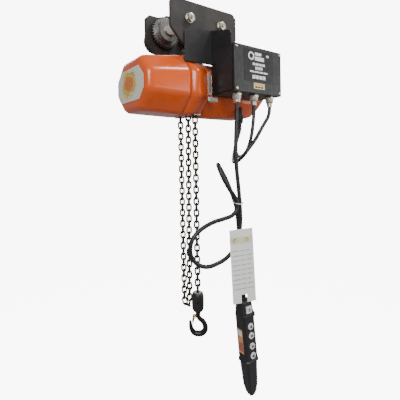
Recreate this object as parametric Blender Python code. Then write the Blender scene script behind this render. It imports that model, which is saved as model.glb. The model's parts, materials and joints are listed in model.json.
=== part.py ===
"""Electric chain hoist on a motor-driven beam trolley, with its control box and pendant.

X runs along the beam, -Y is the side with the control box, +Z is up.
The origin is the middle of the trolley on the beam's running surface.
"""

import math

import bmesh
import bpy
from mathutils import Matrix, Vector

GAP = 0.0003

# Trolley
WHEEL_X = 0.062
TREAD_RADIUS = 0.038
TREAD_Y = (0.032, 0.058)
FLANGE_Y = (0.058, 0.068)
FLANGE_RADIUS = 0.046
WHEEL_TEETH = 34
PINION_TEETH = 12
TROLLEY_MODULE = 0.003
PLATE_Y = (0.076, 0.086)
PLATE_HALF_LENGTH = 0.130
PLATE_TOP = 0.092
PLATE_BOTTOM = -0.078
SUSPENSION_PIN_Z = -0.042
SUSPENSION_PIN_RADIUS = 0.010

# Hoist body
AXIS_Y = 0.0025
AXIS_Z = -0.160
CHAIN_X = -0.016
GEAR_COVER_X = (-0.223, -0.072)
CENTRE_FRAME_X = (-0.072, -0.014)
ADAPTER_X = (-0.014, 0.0)
MOTOR_COVER_X = (0.0, 0.290)
LOAD_Y = -0.042
DEAD_END_Y = -0.003
SLACK_Y = 0.047
CHAIN_TOP_Z = -0.240
LOAD_CHAIN_BOTTOM_Z = -0.832
SLACK_BOTTOM_Z = -0.897
SLACK_MIDDLE_Y = 0.022
SLACK_HALF = 0.016
CHAIN_HALF_WIDTH = 0.0105
CHAIN_HALF_WIRE = 0.0032

# Gear train, coaxial motor and lift wheel with an offset countershaft
GEAR_MODULE = 0.002
MOTOR_TEETH = 10
LARGE_TEETH = 40
SMALL_TEETH = 14
OUTPUT_TEETH = 36
COUNTERSHAFT_OFFSET = GEAR_MODULE * (MOTOR_TEETH + LARGE_TEETH) / 2
COUNTERSHAFT_ANGLE = math.radians(186)

# Control box and its cord grips
BOX_X = (0.020, 0.227)
BOX_Y = (-0.190, -0.088)
BOX_Z = (-0.195, -0.051)
COVER_Y = (-0.198, -0.190)
GRIP_X = (0.0475, 0.1205, 0.1935)
GRIP_Y = -0.175
GRIP_PIVOT_Z = -0.221

# Cords
PENDANT_CORD = 0.0126
BODY_CORD = 0.0116
PENDANT_ROUTE = (
    (0.0475, -0.175, -0.229), (0.0465, -0.175, -0.262), (0.0420, -0.176, -0.310),
    (0.0380, -0.177, -0.370), (0.0390, -0.179, -0.430), (0.0430, -0.182, -0.490),
    (0.0455, -0.184, -0.541), (0.0460, -0.184, -0.590), (0.0400, -0.183, -0.630),
    (0.0220, -0.181, -0.666), (-0.0060, -0.178, -0.689), (-0.0400, -0.175, -0.700),
    (-0.0760, -0.173, -0.702), (-0.1070, -0.172, -0.688), (-0.1270, -0.172, -0.664),
    (-0.1320, -0.173, -0.640), (-0.1240, -0.175, -0.614), (-0.1000, -0.179, -0.592),
    (-0.0600, -0.186, -0.575), (-0.0250, -0.194, -0.568), (0.0000, -0.198, -0.562),
    (0.0160, -0.200, -0.548), (0.0190, -0.201, -0.527), (0.0060, -0.203, -0.506),
    (-0.0136, -0.206, -0.484), (-0.0320, -0.206, -0.458), (-0.0410, -0.200, -0.434),
    (-0.0380, -0.187, -0.418), (-0.0268, -0.170, -0.4123), (-0.0092, -0.153, -0.4173),
    (0.0121, -0.1406, -0.4343), (0.0296, -0.1380, -0.4586), (0.0395, -0.1440, -0.4868),
    (0.0435, -0.1550, -0.5154), (0.0460, -0.1650, -0.543), (0.0500, -0.169, -0.590),
    (0.0525, -0.170, -0.635), (0.0535, -0.172, -0.690), (0.0543, -0.174, -0.740),
    (0.0560, -0.175, -0.780), (0.0580, -0.175, -0.8085),
)
POWER_ROUTE = (
    (0.1205, -0.175, -0.2300), (0.1202, -0.175, -0.246), (0.1175, -0.175, -0.275), (0.1105, -0.174, -0.318),
    (0.1050, -0.169, -0.350), (0.1015, -0.155, -0.378), (0.1000, -0.136, -0.391), (0.1030, -0.115, -0.389),
    (0.1110, -0.097, -0.371), (0.1255, -0.084, -0.341), (0.1440, -0.073, -0.309), (0.1588, -0.068, -0.285),
    (0.1600, -0.068, -0.2691),
)
CONTROL_ROUTE = (
    (0.1935, -0.175, -0.2300), (0.1928, -0.175, -0.243), (0.1850, -0.176, -0.262), (0.1540, -0.181, -0.294),
    (0.1120, -0.187, -0.339), (0.0900, -0.183, -0.364), (0.0780, -0.171, -0.386), (0.0730, -0.153, -0.402),
    (0.0770, -0.132, -0.409), (0.0890, -0.109, -0.408), (0.1090, -0.087, -0.395), (0.1320, -0.068, -0.370),
    (0.1570, -0.053, -0.336), (0.1760, -0.046, -0.305), (0.1815, -0.045, -0.289), (0.1810, -0.045, -0.2767),
)

# Warning tag, hung from the middle of its top edge
TAG_TOP = (0.028, -0.205, -0.604)
TAG_WIDTH = 0.074
TAG_HEIGHT = 0.218
TAG_TURN = math.radians(-20)
TAG_TILT = math.radians(-2.3)

# Hook block and hook
BLOCK_RADIUS = 0.020
BLOCK_Z = (-0.895, -0.833)
SHANK_Z = -0.888
HOOK_TURN = math.radians(-36)
HOOK_SPINE = (
    (0.000, -0.912, 0.0070), (0.005, -0.919, 0.0075), (0.016, -0.929, 0.0078),
    (0.0225, -0.942, 0.0084), (0.0225, -0.956, 0.0090), (0.013, -0.966, 0.0094),
    (0.000, -0.9685, 0.0094), (-0.013, -0.965, 0.0086), (-0.022, -0.953, 0.0074),
    (-0.0245, -0.940, 0.0062), (-0.0260, -0.927, 0.0048),
)

# Pendant station, measured down its own leaning axis
PENDANT_TOP = Vector((0.060, -0.175, -0.829))
PENDANT_LEAN = math.radians(5.5)
BUTTON_RADIUS = 0.0100
BUTTON_AT = (0.078, 0.107, 0.140, 0.170)
BUTTON_NAMES = ("button_up", "button_down", "button_left", "button_right")
POWER_BUTTON_AT = 0.026
POWER_BUTTON_HALF = 0.0105
FACE_Y = -0.023

# Finishes: base colour, roughness, metallic
ORANGE = ((0.75, 0.13, 0.02), 0.35, 0.0)
BLACK_PAINT = ((0.025, 0.024, 0.026), 0.5, 0.0)
GREY_PAINT = ((0.10, 0.095, 0.09), 0.5, 0.0)
ZINC = ((0.62, 0.62, 0.60), 0.35, 1.0)
STEEL = ((0.35, 0.34, 0.33), 0.4, 1.0)
CHAIN_STEEL = ((0.09, 0.08, 0.065), 0.4, 1.0)
ALUMINIUM = ((0.70, 0.66, 0.60), 0.4, 1.0)
COPPER = ((0.60, 0.28, 0.14), 0.4, 1.0)
RUBBER = ((0.02, 0.02, 0.02), 0.75, 0.0)
PLASTIC = ((0.03, 0.03, 0.035), 0.5, 0.0)
WHITE_PLASTIC = ((0.85, 0.84, 0.80), 0.4, 0.0)
TAG = ((0.86, 0.85, 0.78), 0.6, 0.0)


def clear_scene():
    for obj in list(bpy.data.objects):
        bpy.data.objects.remove(obj, do_unlink=True)


def material(name, finish):
    colour, roughness, metallic = finish
    mat = bpy.data.materials.new(name)
    mat.use_nodes = True
    shader = mat.node_tree.nodes["Principled BSDF"]
    shader.inputs["Base Color"].default_value = (*colour, 1.0)
    shader.inputs["Roughness"].default_value = roughness
    shader.inputs["Metallic"].default_value = metallic
    return mat


def new_object(name, bm, finish, place=None, smooth=False):
    """Mesh object from a bmesh; place is the world position of its origin."""
    bmesh.ops.recalc_face_normals(bm, faces=bm.faces)
    if bm.calc_volume(signed=True) < 0:
        bmesh.ops.reverse_faces(bm, faces=bm.faces)
    mesh = bpy.data.meshes.new(name)
    bm.to_mesh(mesh)
    bm.free()
    if place is not None:
        mesh.transform(Matrix.Translation(-Vector(place)))
    obj = bpy.data.objects.new(name, mesh)
    if place is not None:
        obj.location = place
    bpy.context.scene.collection.objects.link(obj)
    if finish is not None:
        mesh.materials.append(material(name, finish))
    if smooth:
        mesh.shade_smooth()
        mesh.set_sharp_from_angle(angle=math.radians(35))
    return obj


def lie_along(axis):
    """Matrix that turns a shape built along Z so that it runs along X, Y or Z."""
    if axis == "X":
        return Matrix.Rotation(math.radians(90), 4, "Y") @ Matrix.Rotation(math.radians(90), 4, "Z")
    if axis == "Y":
        return Matrix.Rotation(math.radians(-90), 4, "X") @ Matrix.Rotation(math.radians(180), 4, "Z")
    return Matrix.Identity(4)


def add_prism(bm, outline, axis, low, high):
    """Extrude a closed outline along an axis. Outline pairs are (y, z), (x, z) or (x, y)."""
    place = {"X": lambda a, b, t: (t, a, b), "Y": lambda a, b, t: (a, t, b), "Z": lambda a, b, t: (a, b, t)}[axis]
    verts = [bm.verts.new(place(a, b, low)) for a, b in outline]
    face = bm.faces.new(verts)
    moved = bmesh.ops.extrude_face_region(bm, geom=[face])["geom"]
    shift = Vector(place(0, 0, high - low))
    bmesh.ops.translate(bm, vec=shift, verts=[g for g in moved if isinstance(g, bmesh.types.BMVert)])


def prism(name, outline, axis, low, high, finish=None, place=None):
    bm = bmesh.new()
    add_prism(bm, outline, axis, low, high)
    return new_object(name, bm, finish, place)


def block(name, x, y, z, finish=None, bevel=0.0):
    bm = bmesh.new()
    add_prism(bm, ((x[0], y[0]), (x[1], y[0]), (x[1], y[1]), (x[0], y[1])), "Z", z[0], z[1])
    if bevel:
        bmesh.ops.bevel(bm, geom=bm.edges[:], offset=bevel, segments=1, affect="EDGES", profile=0.5, material=-1)
    return new_object(name, bm, finish)


def turned(name, profile, axis, centre, steps, finish=None, place=None):
    """Solid of revolution. Profile pairs are (position along the axis, radius), low to high."""
    bm = bmesh.new()
    verts = [bm.verts.new((max(r, 0.0), 0.0, t)) for t, r in profile]
    edges = [bm.edges.new(pair) for pair in zip(verts, verts[1:])]
    if profile[0][1] > 0 and profile[-1][1] > 0:
        edges.append(bm.edges.new((verts[-1], verts[0])))
    bmesh.ops.spin(
        bm, geom=verts + edges, cent=(0, 0, 0), axis=(0, 0, 1), angle=math.tau, steps=steps, use_merge=True
    )
    bmesh.ops.remove_doubles(bm, verts=bm.verts, dist=1e-6)
    bm.transform(Matrix.Translation(Vector(centre)) @ lie_along(axis))
    return new_object(name, bm, finish, place, smooth=True)


def loft(bm, sections):
    """Closed solid through outlines [(x, [(y, z), ...]), ...] with equal point counts."""
    rings = [[bm.verts.new((x, y, z)) for y, z in outline] for x, outline in sections]
    for ring, nxt in zip(rings, rings[1:]):
        edges = [bm.edges.get(pair) or bm.edges.new(pair) for r in (ring, nxt) for pair in zip(r, r[1:] + r[:1])]
        bmesh.ops.bridge_loops(bm, edges=edges)
    bm.faces.new(rings[0])
    bm.faces.new(rings[-1])


def combine(target, other, operation):
    """Boolean with an EXACT solver, applied at once; the other object is removed."""
    bpy.context.view_layer.update()
    mod = target.modifiers.new("combine", "BOOLEAN")
    mod.operation = operation
    mod.solver = "EXACT"
    mod.object = other
    graph = bpy.context.evaluated_depsgraph_get()
    mesh = bpy.data.meshes.new_from_object(target.evaluated_get(graph))
    target.modifiers.clear()
    target.data = mesh
    bpy.data.objects.remove(other, do_unlink=True)
    return target


def cut(target, *others):
    for other in others:
        combine(target, other, "DIFFERENCE")
    return target


def join(target, *others):
    for other in others:
        combine(target, other, "UNION")
    return target


def rod(axis, centre, low, high, radius, steps=16):
    """Plain cylinder used to cut holes or to be joined to another solid."""
    return turned("rod", ((low, 0), (low, radius), (high, radius), (high, 0)), axis, centre, steps)


def body_section(half_width, bottom, top, top_corner, bottom_corner):
    """Octagonal outline of the hoist body, with its lower corners rounded by one more point."""
    w, t, b = half_width, top_corner, bottom_corner
    side = [(w, bottom + b), (w - 0.75 * b, bottom + 0.2 * b), (w - 1.15 * b, bottom)]
    right = [(w - t, top), (w, top - t)]
    return [(-y, z) for y, z in side] + [(y, z) for y, z in reversed(side)] + [
        (y, z) for y, z in reversed(right)] + [(-y, z) for y, z in right]


def shell(name, outer, inner, finish):
    """Lofted housing hollowed by an inner loft that runs out of its open end."""
    bm = bmesh.new()
    loft(bm, outer)
    housing = new_object(name, bm, finish)
    bm = bmesh.new()
    loft(bm, inner)
    return cut(housing, new_object("inside", bm, None))


def gear_outline(teeth, module, phase):
    """Plain gear outline with straight-sided teeth; phase is the angle of the first tooth."""
    pitch = math.tau / teeth
    root, tip = module * (teeth / 2 - 1.25), module * (teeth / 2 + 0.85)
    points = []
    for i in range(teeth):
        at = phase + i * pitch
        points += [(root, at - 0.24 * pitch), (tip, at - 0.10 * pitch), (tip, at + 0.10 * pitch), (root, at + 0.24 * pitch)]
    return [(r * math.cos(a), r * math.sin(a)) for r, a in points]


def gear(name, teeth, module, phase, axis, centre, low, high, bore=None, finish=None, place=None):
    """Spur gear whose outline lies in the plane across its axis. Centre is in that plane."""
    outline = [(a + centre[0], b + centre[1]) for a, b in gear_outline(teeth, module, phase)]
    wheel = prism(name, outline, axis, low, high, finish)
    if bore:
        mid = (0, centre[0], centre[1]) if axis == "X" else (centre[0], 0, centre[1])
        cut(wheel, rod(axis, mid, low - 0.005, high + 0.005, bore, 20))
    if place is not None:
        move_origin(wheel, place)
    return wheel


def move_origin(obj, place):
    """Put the object's origin on its joint's axis without moving its mesh in the world."""
    obj.data.transform(Matrix.Translation(-Vector(place)))
    obj.location = place


def smooth_route(points, spacing):
    """Points about one spacing apart on a centripetal curve through the route's own points."""
    pts = [Vector(p) for p in points]
    pts = [2 * pts[0] - pts[1]] + pts + [2 * pts[-1] - pts[-2]]
    fine = []
    for p0, p1, p2, p3 in zip(pts, pts[1:], pts[2:], pts[3:]):
        t1 = (p1 - p0).length ** 0.5
        t2 = t1 + (p2 - p1).length ** 0.5
        t3 = t2 + (p3 - p2).length ** 0.5
        for i in range(12):
            t = t1 + (t2 - t1) * i / 12
            a1 = p0.lerp(p1, t / t1)
            a2 = p1.lerp(p2, (t - t1) / (t2 - t1))
            a3 = p2.lerp(p3, (t - t2) / (t3 - t2))
            b1 = a1.lerp(a2, t / t2)
            b2 = a2.lerp(a3, (t - t1) / (t3 - t1))
            fine.append(b1.lerp(b2, (t - t1) / (t2 - t1)))
    fine.append(pts[-2])
    total = sum((b - a).length for a, b in zip(fine, fine[1:]))
    step = total / max(2, round(total / spacing))
    kept, run = [fine[0]], 0.0
    for a, b in zip(fine, fine[1:]):
        run += (b - a).length
        if run >= step * len(kept) - 1e-6:
            kept.append(b)
    kept[-1] = fine[-1]
    return kept


def tube(name, points, radius, finish, radii=None, resolution=2):
    """Round bar along a POLY spline, with filled caps."""
    curve = bpy.data.curves.new(name, "CURVE")
    curve.dimensions = "3D"
    curve.bevel_depth = radius
    curve.bevel_resolution = resolution
    curve.use_fill_caps = True
    spline = curve.splines.new("POLY")
    spline.points.add(len(points) - 1)
    for i, (point, co) in enumerate(zip(spline.points, points)):
        point.co = (*co, 1.0)
        point.radius = radii[i] / radius if radii else 1.0
    obj = bpy.data.objects.new(name, curve)
    bpy.context.scene.collection.objects.link(obj)
    curve.materials.append(material(name, finish))
    return obj


def side_plates():
    low, half = PLATE_BOTTOM, PLATE_HALF_LENGTH
    right = [(0.036, low), (0.099, -0.031), (0.124, -0.004), (half, 0.004), (half, PLATE_TOP - 0.014),
             (half - 0.014, PLATE_TOP)]
    outline = right + [(-x, z) for x, z in reversed(right)]
    for name, side in (("side_plate_front", -1), ("side_plate_rear", 1)):
        y = sorted((side * PLATE_Y[0], side * PLATE_Y[1]))
        plate = prism(name, outline, "Y", y[0], y[1], GREY_PAINT)
        holes = [rod("Y", (x, 0, TREAD_RADIUS), y[0] - 0.01, y[1] + 0.01, 0.0083) for x in (-WHEEL_X, WHEEL_X)]
        holes.append(rod("Y", (0, 0, SUSPENSION_PIN_Z), y[0] - 0.01, y[1] + 0.01, SUSPENSION_PIN_RADIUS + GAP))
        if side > 0:
            holes.append(rod("Y", (0, 0, pinion_z()), y[0] - 0.01, y[1] + 0.01, 0.011))
        cut(plate, *holes)


def pinion_z():
    """Height of the drive pinion, which meshes with both geared wheels."""
    reach = TROLLEY_MODULE * (WHEEL_TEETH + PINION_TEETH) / 2
    return TREAD_RADIUS + math.sqrt(reach**2 - WHEEL_X**2)


def pinion_phase():
    """Angle of the drive pinion's first tooth, which points at the right wheel's centre."""
    return math.atan2(TREAD_RADIUS - pinion_z(), WHEEL_X)


def meshed_phase(driver_teeth, driver_phase, toward, teeth):
    """Angle of a tooth on a gear whose gap takes the driver's tooth nearest the line of centres."""
    pitch = math.tau / driver_teeth
    offset = (driver_phase - toward + pitch / 2) % pitch - pitch / 2
    return toward + math.pi - offset * driver_teeth / teeth + math.pi / teeth


def trolley_wheels():
    for end, x in (("left", -WHEEL_X), ("right", WHEEL_X)):
        centre = (x, 0, TREAD_RADIUS)
        plain = ((-FLANGE_Y[1], 0.014), (-FLANGE_Y[1], FLANGE_RADIUS), (-FLANGE_Y[0], FLANGE_RADIUS),
                 (-TREAD_Y[1] + 0.0005, TREAD_RADIUS), (-TREAD_Y[0], TREAD_RADIUS - 0.002), (-TREAD_Y[0], 0.014))
        turned(f"wheel_front_{end}", plain, "Y", centre, 24, STEEL, place=(x, -0.05, TREAD_RADIUS))
        toward = math.atan2(TREAD_RADIUS - pinion_z(), x)
        phase = meshed_phase(PINION_TEETH, pinion_phase(), toward, WHEEL_TEETH)
        geared = gear(f"wheel_rear_{end}", WHEEL_TEETH, TROLLEY_MODULE, phase, "Y",
                      (x, TREAD_RADIUS), FLANGE_Y[0], FLANGE_Y[1], finish=STEEL)
        tread = rod("Y", centre, TREAD_Y[0], TREAD_Y[1] + 0.003, TREAD_RADIUS, 24)
        join(geared, tread)
        cut(geared, rod("Y", centre, 0.02, 0.08, 0.014, 16))
        move_origin(geared, (x, 0.05, TREAD_RADIUS))


def axles():
    """Stub axles: a collar inside the wheel, a shank through the plate and a nut outside it."""
    for end, x in (("left", -WHEEL_X), ("right", WHEEL_X)):
        for side, name in ((-1, "front"), (1, "rear")):
            profile = [(0.026, 0), (0.026, 0.018), (0.0315, 0.018), (0.0315, 0.0136), (0.0685, 0.0136), (0.0757, 0.0136),
                       (0.0757, 0.008), (0.0863, 0.008), (0.0863, 0.0155), (0.0885, 0.0155), (0.0885, 0.0125),
                       (0.0990, 0.0125), (0.0990, 0.008), (0.104, 0.0075), (0.104, 0)]
            if side < 0:
                profile = [(-t, r) for t, r in reversed(profile)]
            turned(f"axle_{name}_{end}", profile, "Y", (x, 0, TREAD_RADIUS), 12, ZINC)


def drive_pinion():
    z = pinion_z()
    pinion = gear("drive_pinion", PINION_TEETH, TROLLEY_MODULE, pinion_phase(), "Y", (0, z), FLANGE_Y[0], FLANGE_Y[1],
                  finish=STEEL)
    join(pinion, rod("Y", (0, 0, z), 0.054, 0.112, 0.0085))
    move_origin(pinion, (0, 0.06, z))


def trolley_drive():
    """Gear case on the rear plate with its motor standing out over the rear side."""
    z = pinion_z()
    case = block("trolley_gear_case", (-0.045, 0.045), (PLATE_Y[1] + GAP, 0.128), (z - 0.062, z + 0.046), BLACK_PAINT, 0.006)
    cut(case, rod("Y", (0, 0, z), 0.08, 0.114, 0.0095))
    motor = turned("trolley_motor", ((0.1283, 0), (0.1283, 0.046), (0.134, 0.046), (0.136, 0.042), (0.246, 0.042),
                                     (0.248, 0.045), (0.262, 0.045), (0.270, 0.036), (0.270, 0)),
                   "Y", (0, 0, z), 24, BLACK_PAINT)
    return motor


def suspension():
    turned("suspension_pin", ((-0.0858, 0), (-0.0858, SUSPENSION_PIN_RADIUS), (0.0863, SUSPENSION_PIN_RADIUS),
                              (0.0863, 0.016), (0.096, 0.016), (0.096, 0)),
           "Y", (0, 0, SUSPENSION_PIN_Z), 16, ZINC)
    lug = block("suspension_lug", (-0.024, 0.010), (-0.030, 0.030), (-0.0638, -0.022), STEEL, 0.003)
    cut(lug, rod("Y", (0, 0, SUSPENSION_PIN_Z), -0.05, 0.05, SUSPENSION_PIN_RADIUS + GAP))


def chain_slot():
    """Opening in the floor of the centre frame and the adapter, filled by the chain guide."""
    return block("slot", (-0.029, -0.003), (-0.056, 0.062), (-0.29, -0.20))


def hoist_housings():
    section = body_section
    outer = [(GEAR_COVER_X[0], section(0.100, -0.244, -0.099, 0.044, 0.046)),
             (-0.209, section(0.107, -0.252, -0.090, 0.050, 0.052)),
             (GEAR_COVER_X[1] - GAP, section(0.110, -0.256, -0.066, 0.058, 0.052))]
    inner = [(-0.216, section(0.094, -0.238, -0.105, 0.042, 0.044)),
             (-0.203, section(0.101, -0.246, -0.096, 0.048, 0.050)),
             (-0.060, section(0.104, -0.250, -0.072, 0.056, 0.050))]
    shell("gear_cover", outer, inner, ORANGE)

    outer = [(CENTRE_FRAME_X[0], section(0.110, -0.256, -0.066, 0.058, 0.052)),
             (CENTRE_FRAME_X[1] - GAP, section(0.110, -0.256, -0.064, 0.062, 0.053))]
    inner = [(-0.080, section(0.102, -0.248, -0.074, 0.056, 0.050)), (0.0, section(0.102, -0.248, -0.074, 0.056, 0.050))]
    frame = shell("centre_frame", outer, inner, ORANGE)
    cut(frame, chain_slot())

    adapter = prism("adapter_plate", section(0.110, -0.256, -0.064, 0.062, 0.053), "X", *ADAPTER_X, ALUMINIUM)
    centre = (0, AXIS_Y, AXIS_Z)
    cut(adapter, rod("X", centre, -0.02, -0.0032, 0.052, 24), rod("X", centre, -0.02, 0.02, 0.0145))
    cut(adapter, chain_slot())

    outer = [(MOTOR_COVER_X[0] + GAP, section(0.084, -0.256, -0.080, 0.044, 0.044)),
             (0.200, section(0.084, -0.258, -0.080, 0.044, 0.044)),
             (0.240, section(0.082, -0.250, -0.084, 0.040, 0.042)),
             (MOTOR_COVER_X[1], section(0.068, -0.214, -0.112, 0.034, 0.034))]
    inner = [(-0.010, section(0.078, -0.250, -0.086, 0.042, 0.042)), (0.200, section(0.078, -0.252, -0.086, 0.042, 0.042)),
             (0.237, section(0.076, -0.244, -0.090, 0.038, 0.040)), (0.282, section(0.063, -0.210, -0.117, 0.032, 0.032))]
    cover = shell("motor_cover", outer, inner, ORANGE)
    cut(cover, rod("Z", (0.160, -0.068, 0), -0.300, -0.200, 0.009), rod("Z", (0.181, -0.045, 0), -0.300, -0.200, 0.009))


def badges():
    side = [(0.090, -0.192), (0.090, -0.154), (0.059, -0.123), (-0.059, -0.123), (-0.090, -0.154), (-0.090, -0.192),
            (-0.062, -0.221), (0.062, -0.221)]
    prism("end_badge", side, "X", GEAR_COVER_X[0] - 0.0020, GEAR_COVER_X[0] - GAP, ALUMINIUM)
    plate = block("rating_plate", (-0.016, 0.020), (-0.117, -0.1105), (-0.218, -0.204), ALUMINIUM, 0.001)
    join(plate, block("foot", (0.004, 0.016), (-0.112, -0.0845), (-0.216, -0.206)))


def chain_guide():
    guide = block("chain_guide", (-0.0287, -0.0033), (-0.0557, 0.0617), (-0.2557, -0.236), STEEL)
    for y in (LOAD_Y, DEAD_END_Y, SLACK_Y):
        hole = block("hole", (CHAIN_X - 0.0115, CHAIN_X + 0.0115), (y - 0.0115, y + 0.0115), (-0.30, -0.20))
        cut(guide, hole)


def hoist_cord_grips():
    for name, x, y, low, seat in (("hoist_grip_power", 0.160, -0.068, -0.268, -0.2500),
                                  ("hoist_grip_control", 0.181, -0.045, -0.275, -0.2585)):
        turned(name, ((low, 0), (low, 0.0085), (low + 0.006, 0.012), (seat, 0.012), (seat, 0.0087), (seat + 0.028, 0.0087),
                      (seat + 0.028, 0)), "Z", (x, y, 0), 12, RUBBER)


def gear_train():
    away = COUNTERSHAFT_ANGLE
    cy = AXIS_Y + COUNTERSHAFT_OFFSET * math.cos(away)
    cz = AXIS_Z + COUNTERSHAFT_OFFSET * math.sin(away)
    axis = (0, AXIS_Y, AXIS_Z)

    pinion = gear("motor_shaft", MOTOR_TEETH, GEAR_MODULE, away, "X", (AXIS_Y, AXIS_Z), -0.121, -0.104, finish=STEEL)
    join(pinion, rod("X", axis, -0.140, 0.230, 0.007))
    move_origin(pinion, (0.0, AXIS_Y, AXIS_Z))

    large = gear("countershaft_gear", LARGE_TEETH, GEAR_MODULE, away + math.pi + math.pi / LARGE_TEETH, "X", (cy, cz),
                 -0.119, -0.106, finish=STEEL)
    small = gear("small", SMALL_TEETH, GEAR_MODULE, away + math.pi + math.pi / SMALL_TEETH, "X", (cy, cz), -0.107, -0.084)
    join(large, small, rod("X", (0, cy, cz), -0.150, -0.076, 0.008))
    move_origin(large, (-0.1, cy, cz))

    output = gear("output_gear", OUTPUT_TEETH, GEAR_MODULE, away, "X", (AXIS_Y, AXIS_Z), -0.099, -0.087, bore=0.0143,
                  finish=STEEL)
    move_origin(output, (-0.09, AXIS_Y, AXIS_Z))
    lift = ((-0.101, 0.009), (-0.101, 0.014), (-0.030, 0.014), (-0.030, 0.047), (-0.026, 0.047), (-0.022, 0.036),
            (-0.010, 0.036), (-0.006, 0.047), (-0.0042, 0.047), (-0.0042, 0.0135), (0.004, 0.0135), (0.004, 0.009))
    turned("lift_wheel", lift, "X", axis, 28, STEEL, place=axis)


def gear_bearing_plate():
    """Bearing plate inside the gear cover that carries the lift shaft and the countershaft."""
    away = COUNTERSHAFT_ANGLE
    cy = AXIS_Y + COUNTERSHAFT_OFFSET * math.cos(away)
    cz = AXIS_Z + COUNTERSHAFT_OFFSET * math.sin(away)
    plate = prism("bearing_plate", body_section(0.098, -0.244, -0.079, 0.056, 0.050), "X", -0.083, -0.077, ALUMINIUM)
    cut(plate, rod("X", (0, AXIS_Y, AXIS_Z), -0.09, -0.07, 0.0143), rod("X", (0, cy, cz), -0.09, -0.07, 0.0083))


def motor_and_brake():
    axis = (0, AXIS_Y, AXIS_Z)
    turned("stator", ((0.050, 0.034), (0.050, 0.062), (0.160, 0.062), (0.160, 0.034)), "X", axis, 20, COPPER)
    turned("rotor", ((0.055, 0.0073), (0.055, 0.0325), (0.155, 0.0325), (0.155, 0.0073)), "X", axis, 20, STEEL, place=axis)
    turned("brake_disc", ((0.184, 0.0073), (0.184, 0.052), (0.190, 0.052), (0.190, 0.0073)), "X", axis, 20, STEEL,
           place=axis)
    turned("brake_coil", ((0.1915, 0.012), (0.1915, 0.050), (0.218, 0.050), (0.218, 0.012)), "X", axis, 20, COPPER)


def box_bracket():
    """Angle bracket: one leg on the front side plate, the other beside the control box."""
    back = [(-0.084, -0.096), (0.0197, -0.096), (0.0197, 0.015), (-0.084, -0.006)]
    bracket = prism("box_bracket", back, "Y", -0.0905, PLATE_Y[1] * -1 - GAP, BLACK_PAINT)
    arm = [(-0.0870, -0.096), (-0.0870, 0.0150), (-0.180, -0.010), (-0.187, -0.020), (-0.187, -0.190), (-0.115, -0.190),
           (-0.115, -0.096)]
    join(bracket, prism("arm", arm, "X", 0.0167, 0.0197))


def control_box():
    box = block("control_box", BOX_X, BOX_Y, BOX_Z, BLACK_PAINT)
    cut(box, block("inside", (BOX_X[0] + 0.002, BOX_X[1] - 0.002), (BOX_Y[0] - 0.01, BOX_Y[1] - 0.002),
                   (BOX_Z[0] + 0.002, BOX_Z[1] - 0.002)))
    cut(box, *[rod("Z", (x, GRIP_Y, 0), -0.21, -0.18, 0.0095) for x in GRIP_X])
    cut(box, rod("X", (0, -0.150, -0.080), 0.21, 0.24, 0.0085))
    block("box_cover", BOX_X, (COVER_Y[0], COVER_Y[1] - GAP), BOX_Z, GREY_PAINT, 0.0012)
    block("contactor", (0.060, 0.105), (-0.165, -0.0905), (-0.150, -0.085), PLASTIC, 0.002)
    turned("side_plug", ((0.215, 0), (0.215, 0.0082), (0.2273, 0.0082), (0.2273, 0.0145), (0.233, 0.0145), (0.237, 0.010),
                         (0.237, 0)), "X", (0, -0.150, -0.080), 12, ZINC)


def box_cord_grips():
    """Cord grips under the box. The pendant's grip ends in a ball that its cord swings around."""
    low = BOX_Z[0]
    for name, x in zip(("grip_pendant", "grip_power", "grip_control"), GRIP_X):
        head = [(low + 0.012, 0), (low + 0.012, 0.0092), (low - GAP, 0.0092), (low - GAP, 0.0150), (low - 0.008, 0.0150),
                (low - 0.009, 0.0125), (low - 0.020, 0.0125), (low - 0.0215, 0.0100)]
        if name == "grip_pendant":
            ball = [(GRIP_PIVOT_Z + 0.0077 * math.cos(a), 0.0077 * math.sin(a))
                    for a in (math.radians(d) for d in (70, 95, 120, 145, 165))]
            tail = ball + [(GRIP_PIVOT_Z - 0.0077, 0)]
        else:
            tail = [(-0.2215, 0.0085), (-0.229, 0.0075), (-0.229, 0)]
        profile = list(reversed(head + tail))
        turned(name, profile, "Z", (x, GRIP_Y, 0), 12, ZINC)


def cords():
    tube("pendant_cord", smooth_route(PENDANT_ROUTE, 2 * PENDANT_CORD), PENDANT_CORD / 2, RUBBER)
    tube("power_cord", smooth_route(POWER_ROUTE, 2 * BODY_CORD), BODY_CORD / 2, RUBBER)
    tube("control_cord", smooth_route(CONTROL_ROUTE, 2 * BODY_CORD), BODY_CORD / 2, RUBBER)


def warning_tag():
    """Stiff printed tag that hangs in front of the cord, cut out round the pendant's cord relief."""
    half, height, notch, notch_height = TAG_WIDTH / 2, TAG_HEIGHT, 0.009, 0.024
    outline = [(-half, -height), (-notch, -height), (-notch, notch_height - height), (notch, notch_height - height),
               (notch, -height), (half, -height), (half, 0), (-half, 0)]
    tag = prism("warning_tag", outline, "Y", -0.0006, 0.0006, TAG)
    turn = Matrix.Rotation(TAG_TURN, 4, "Z") @ Matrix.Rotation(TAG_TILT, 4, "Y")
    tag.data.transform(Matrix.Translation(TAG_TOP) @ turn)


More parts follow.
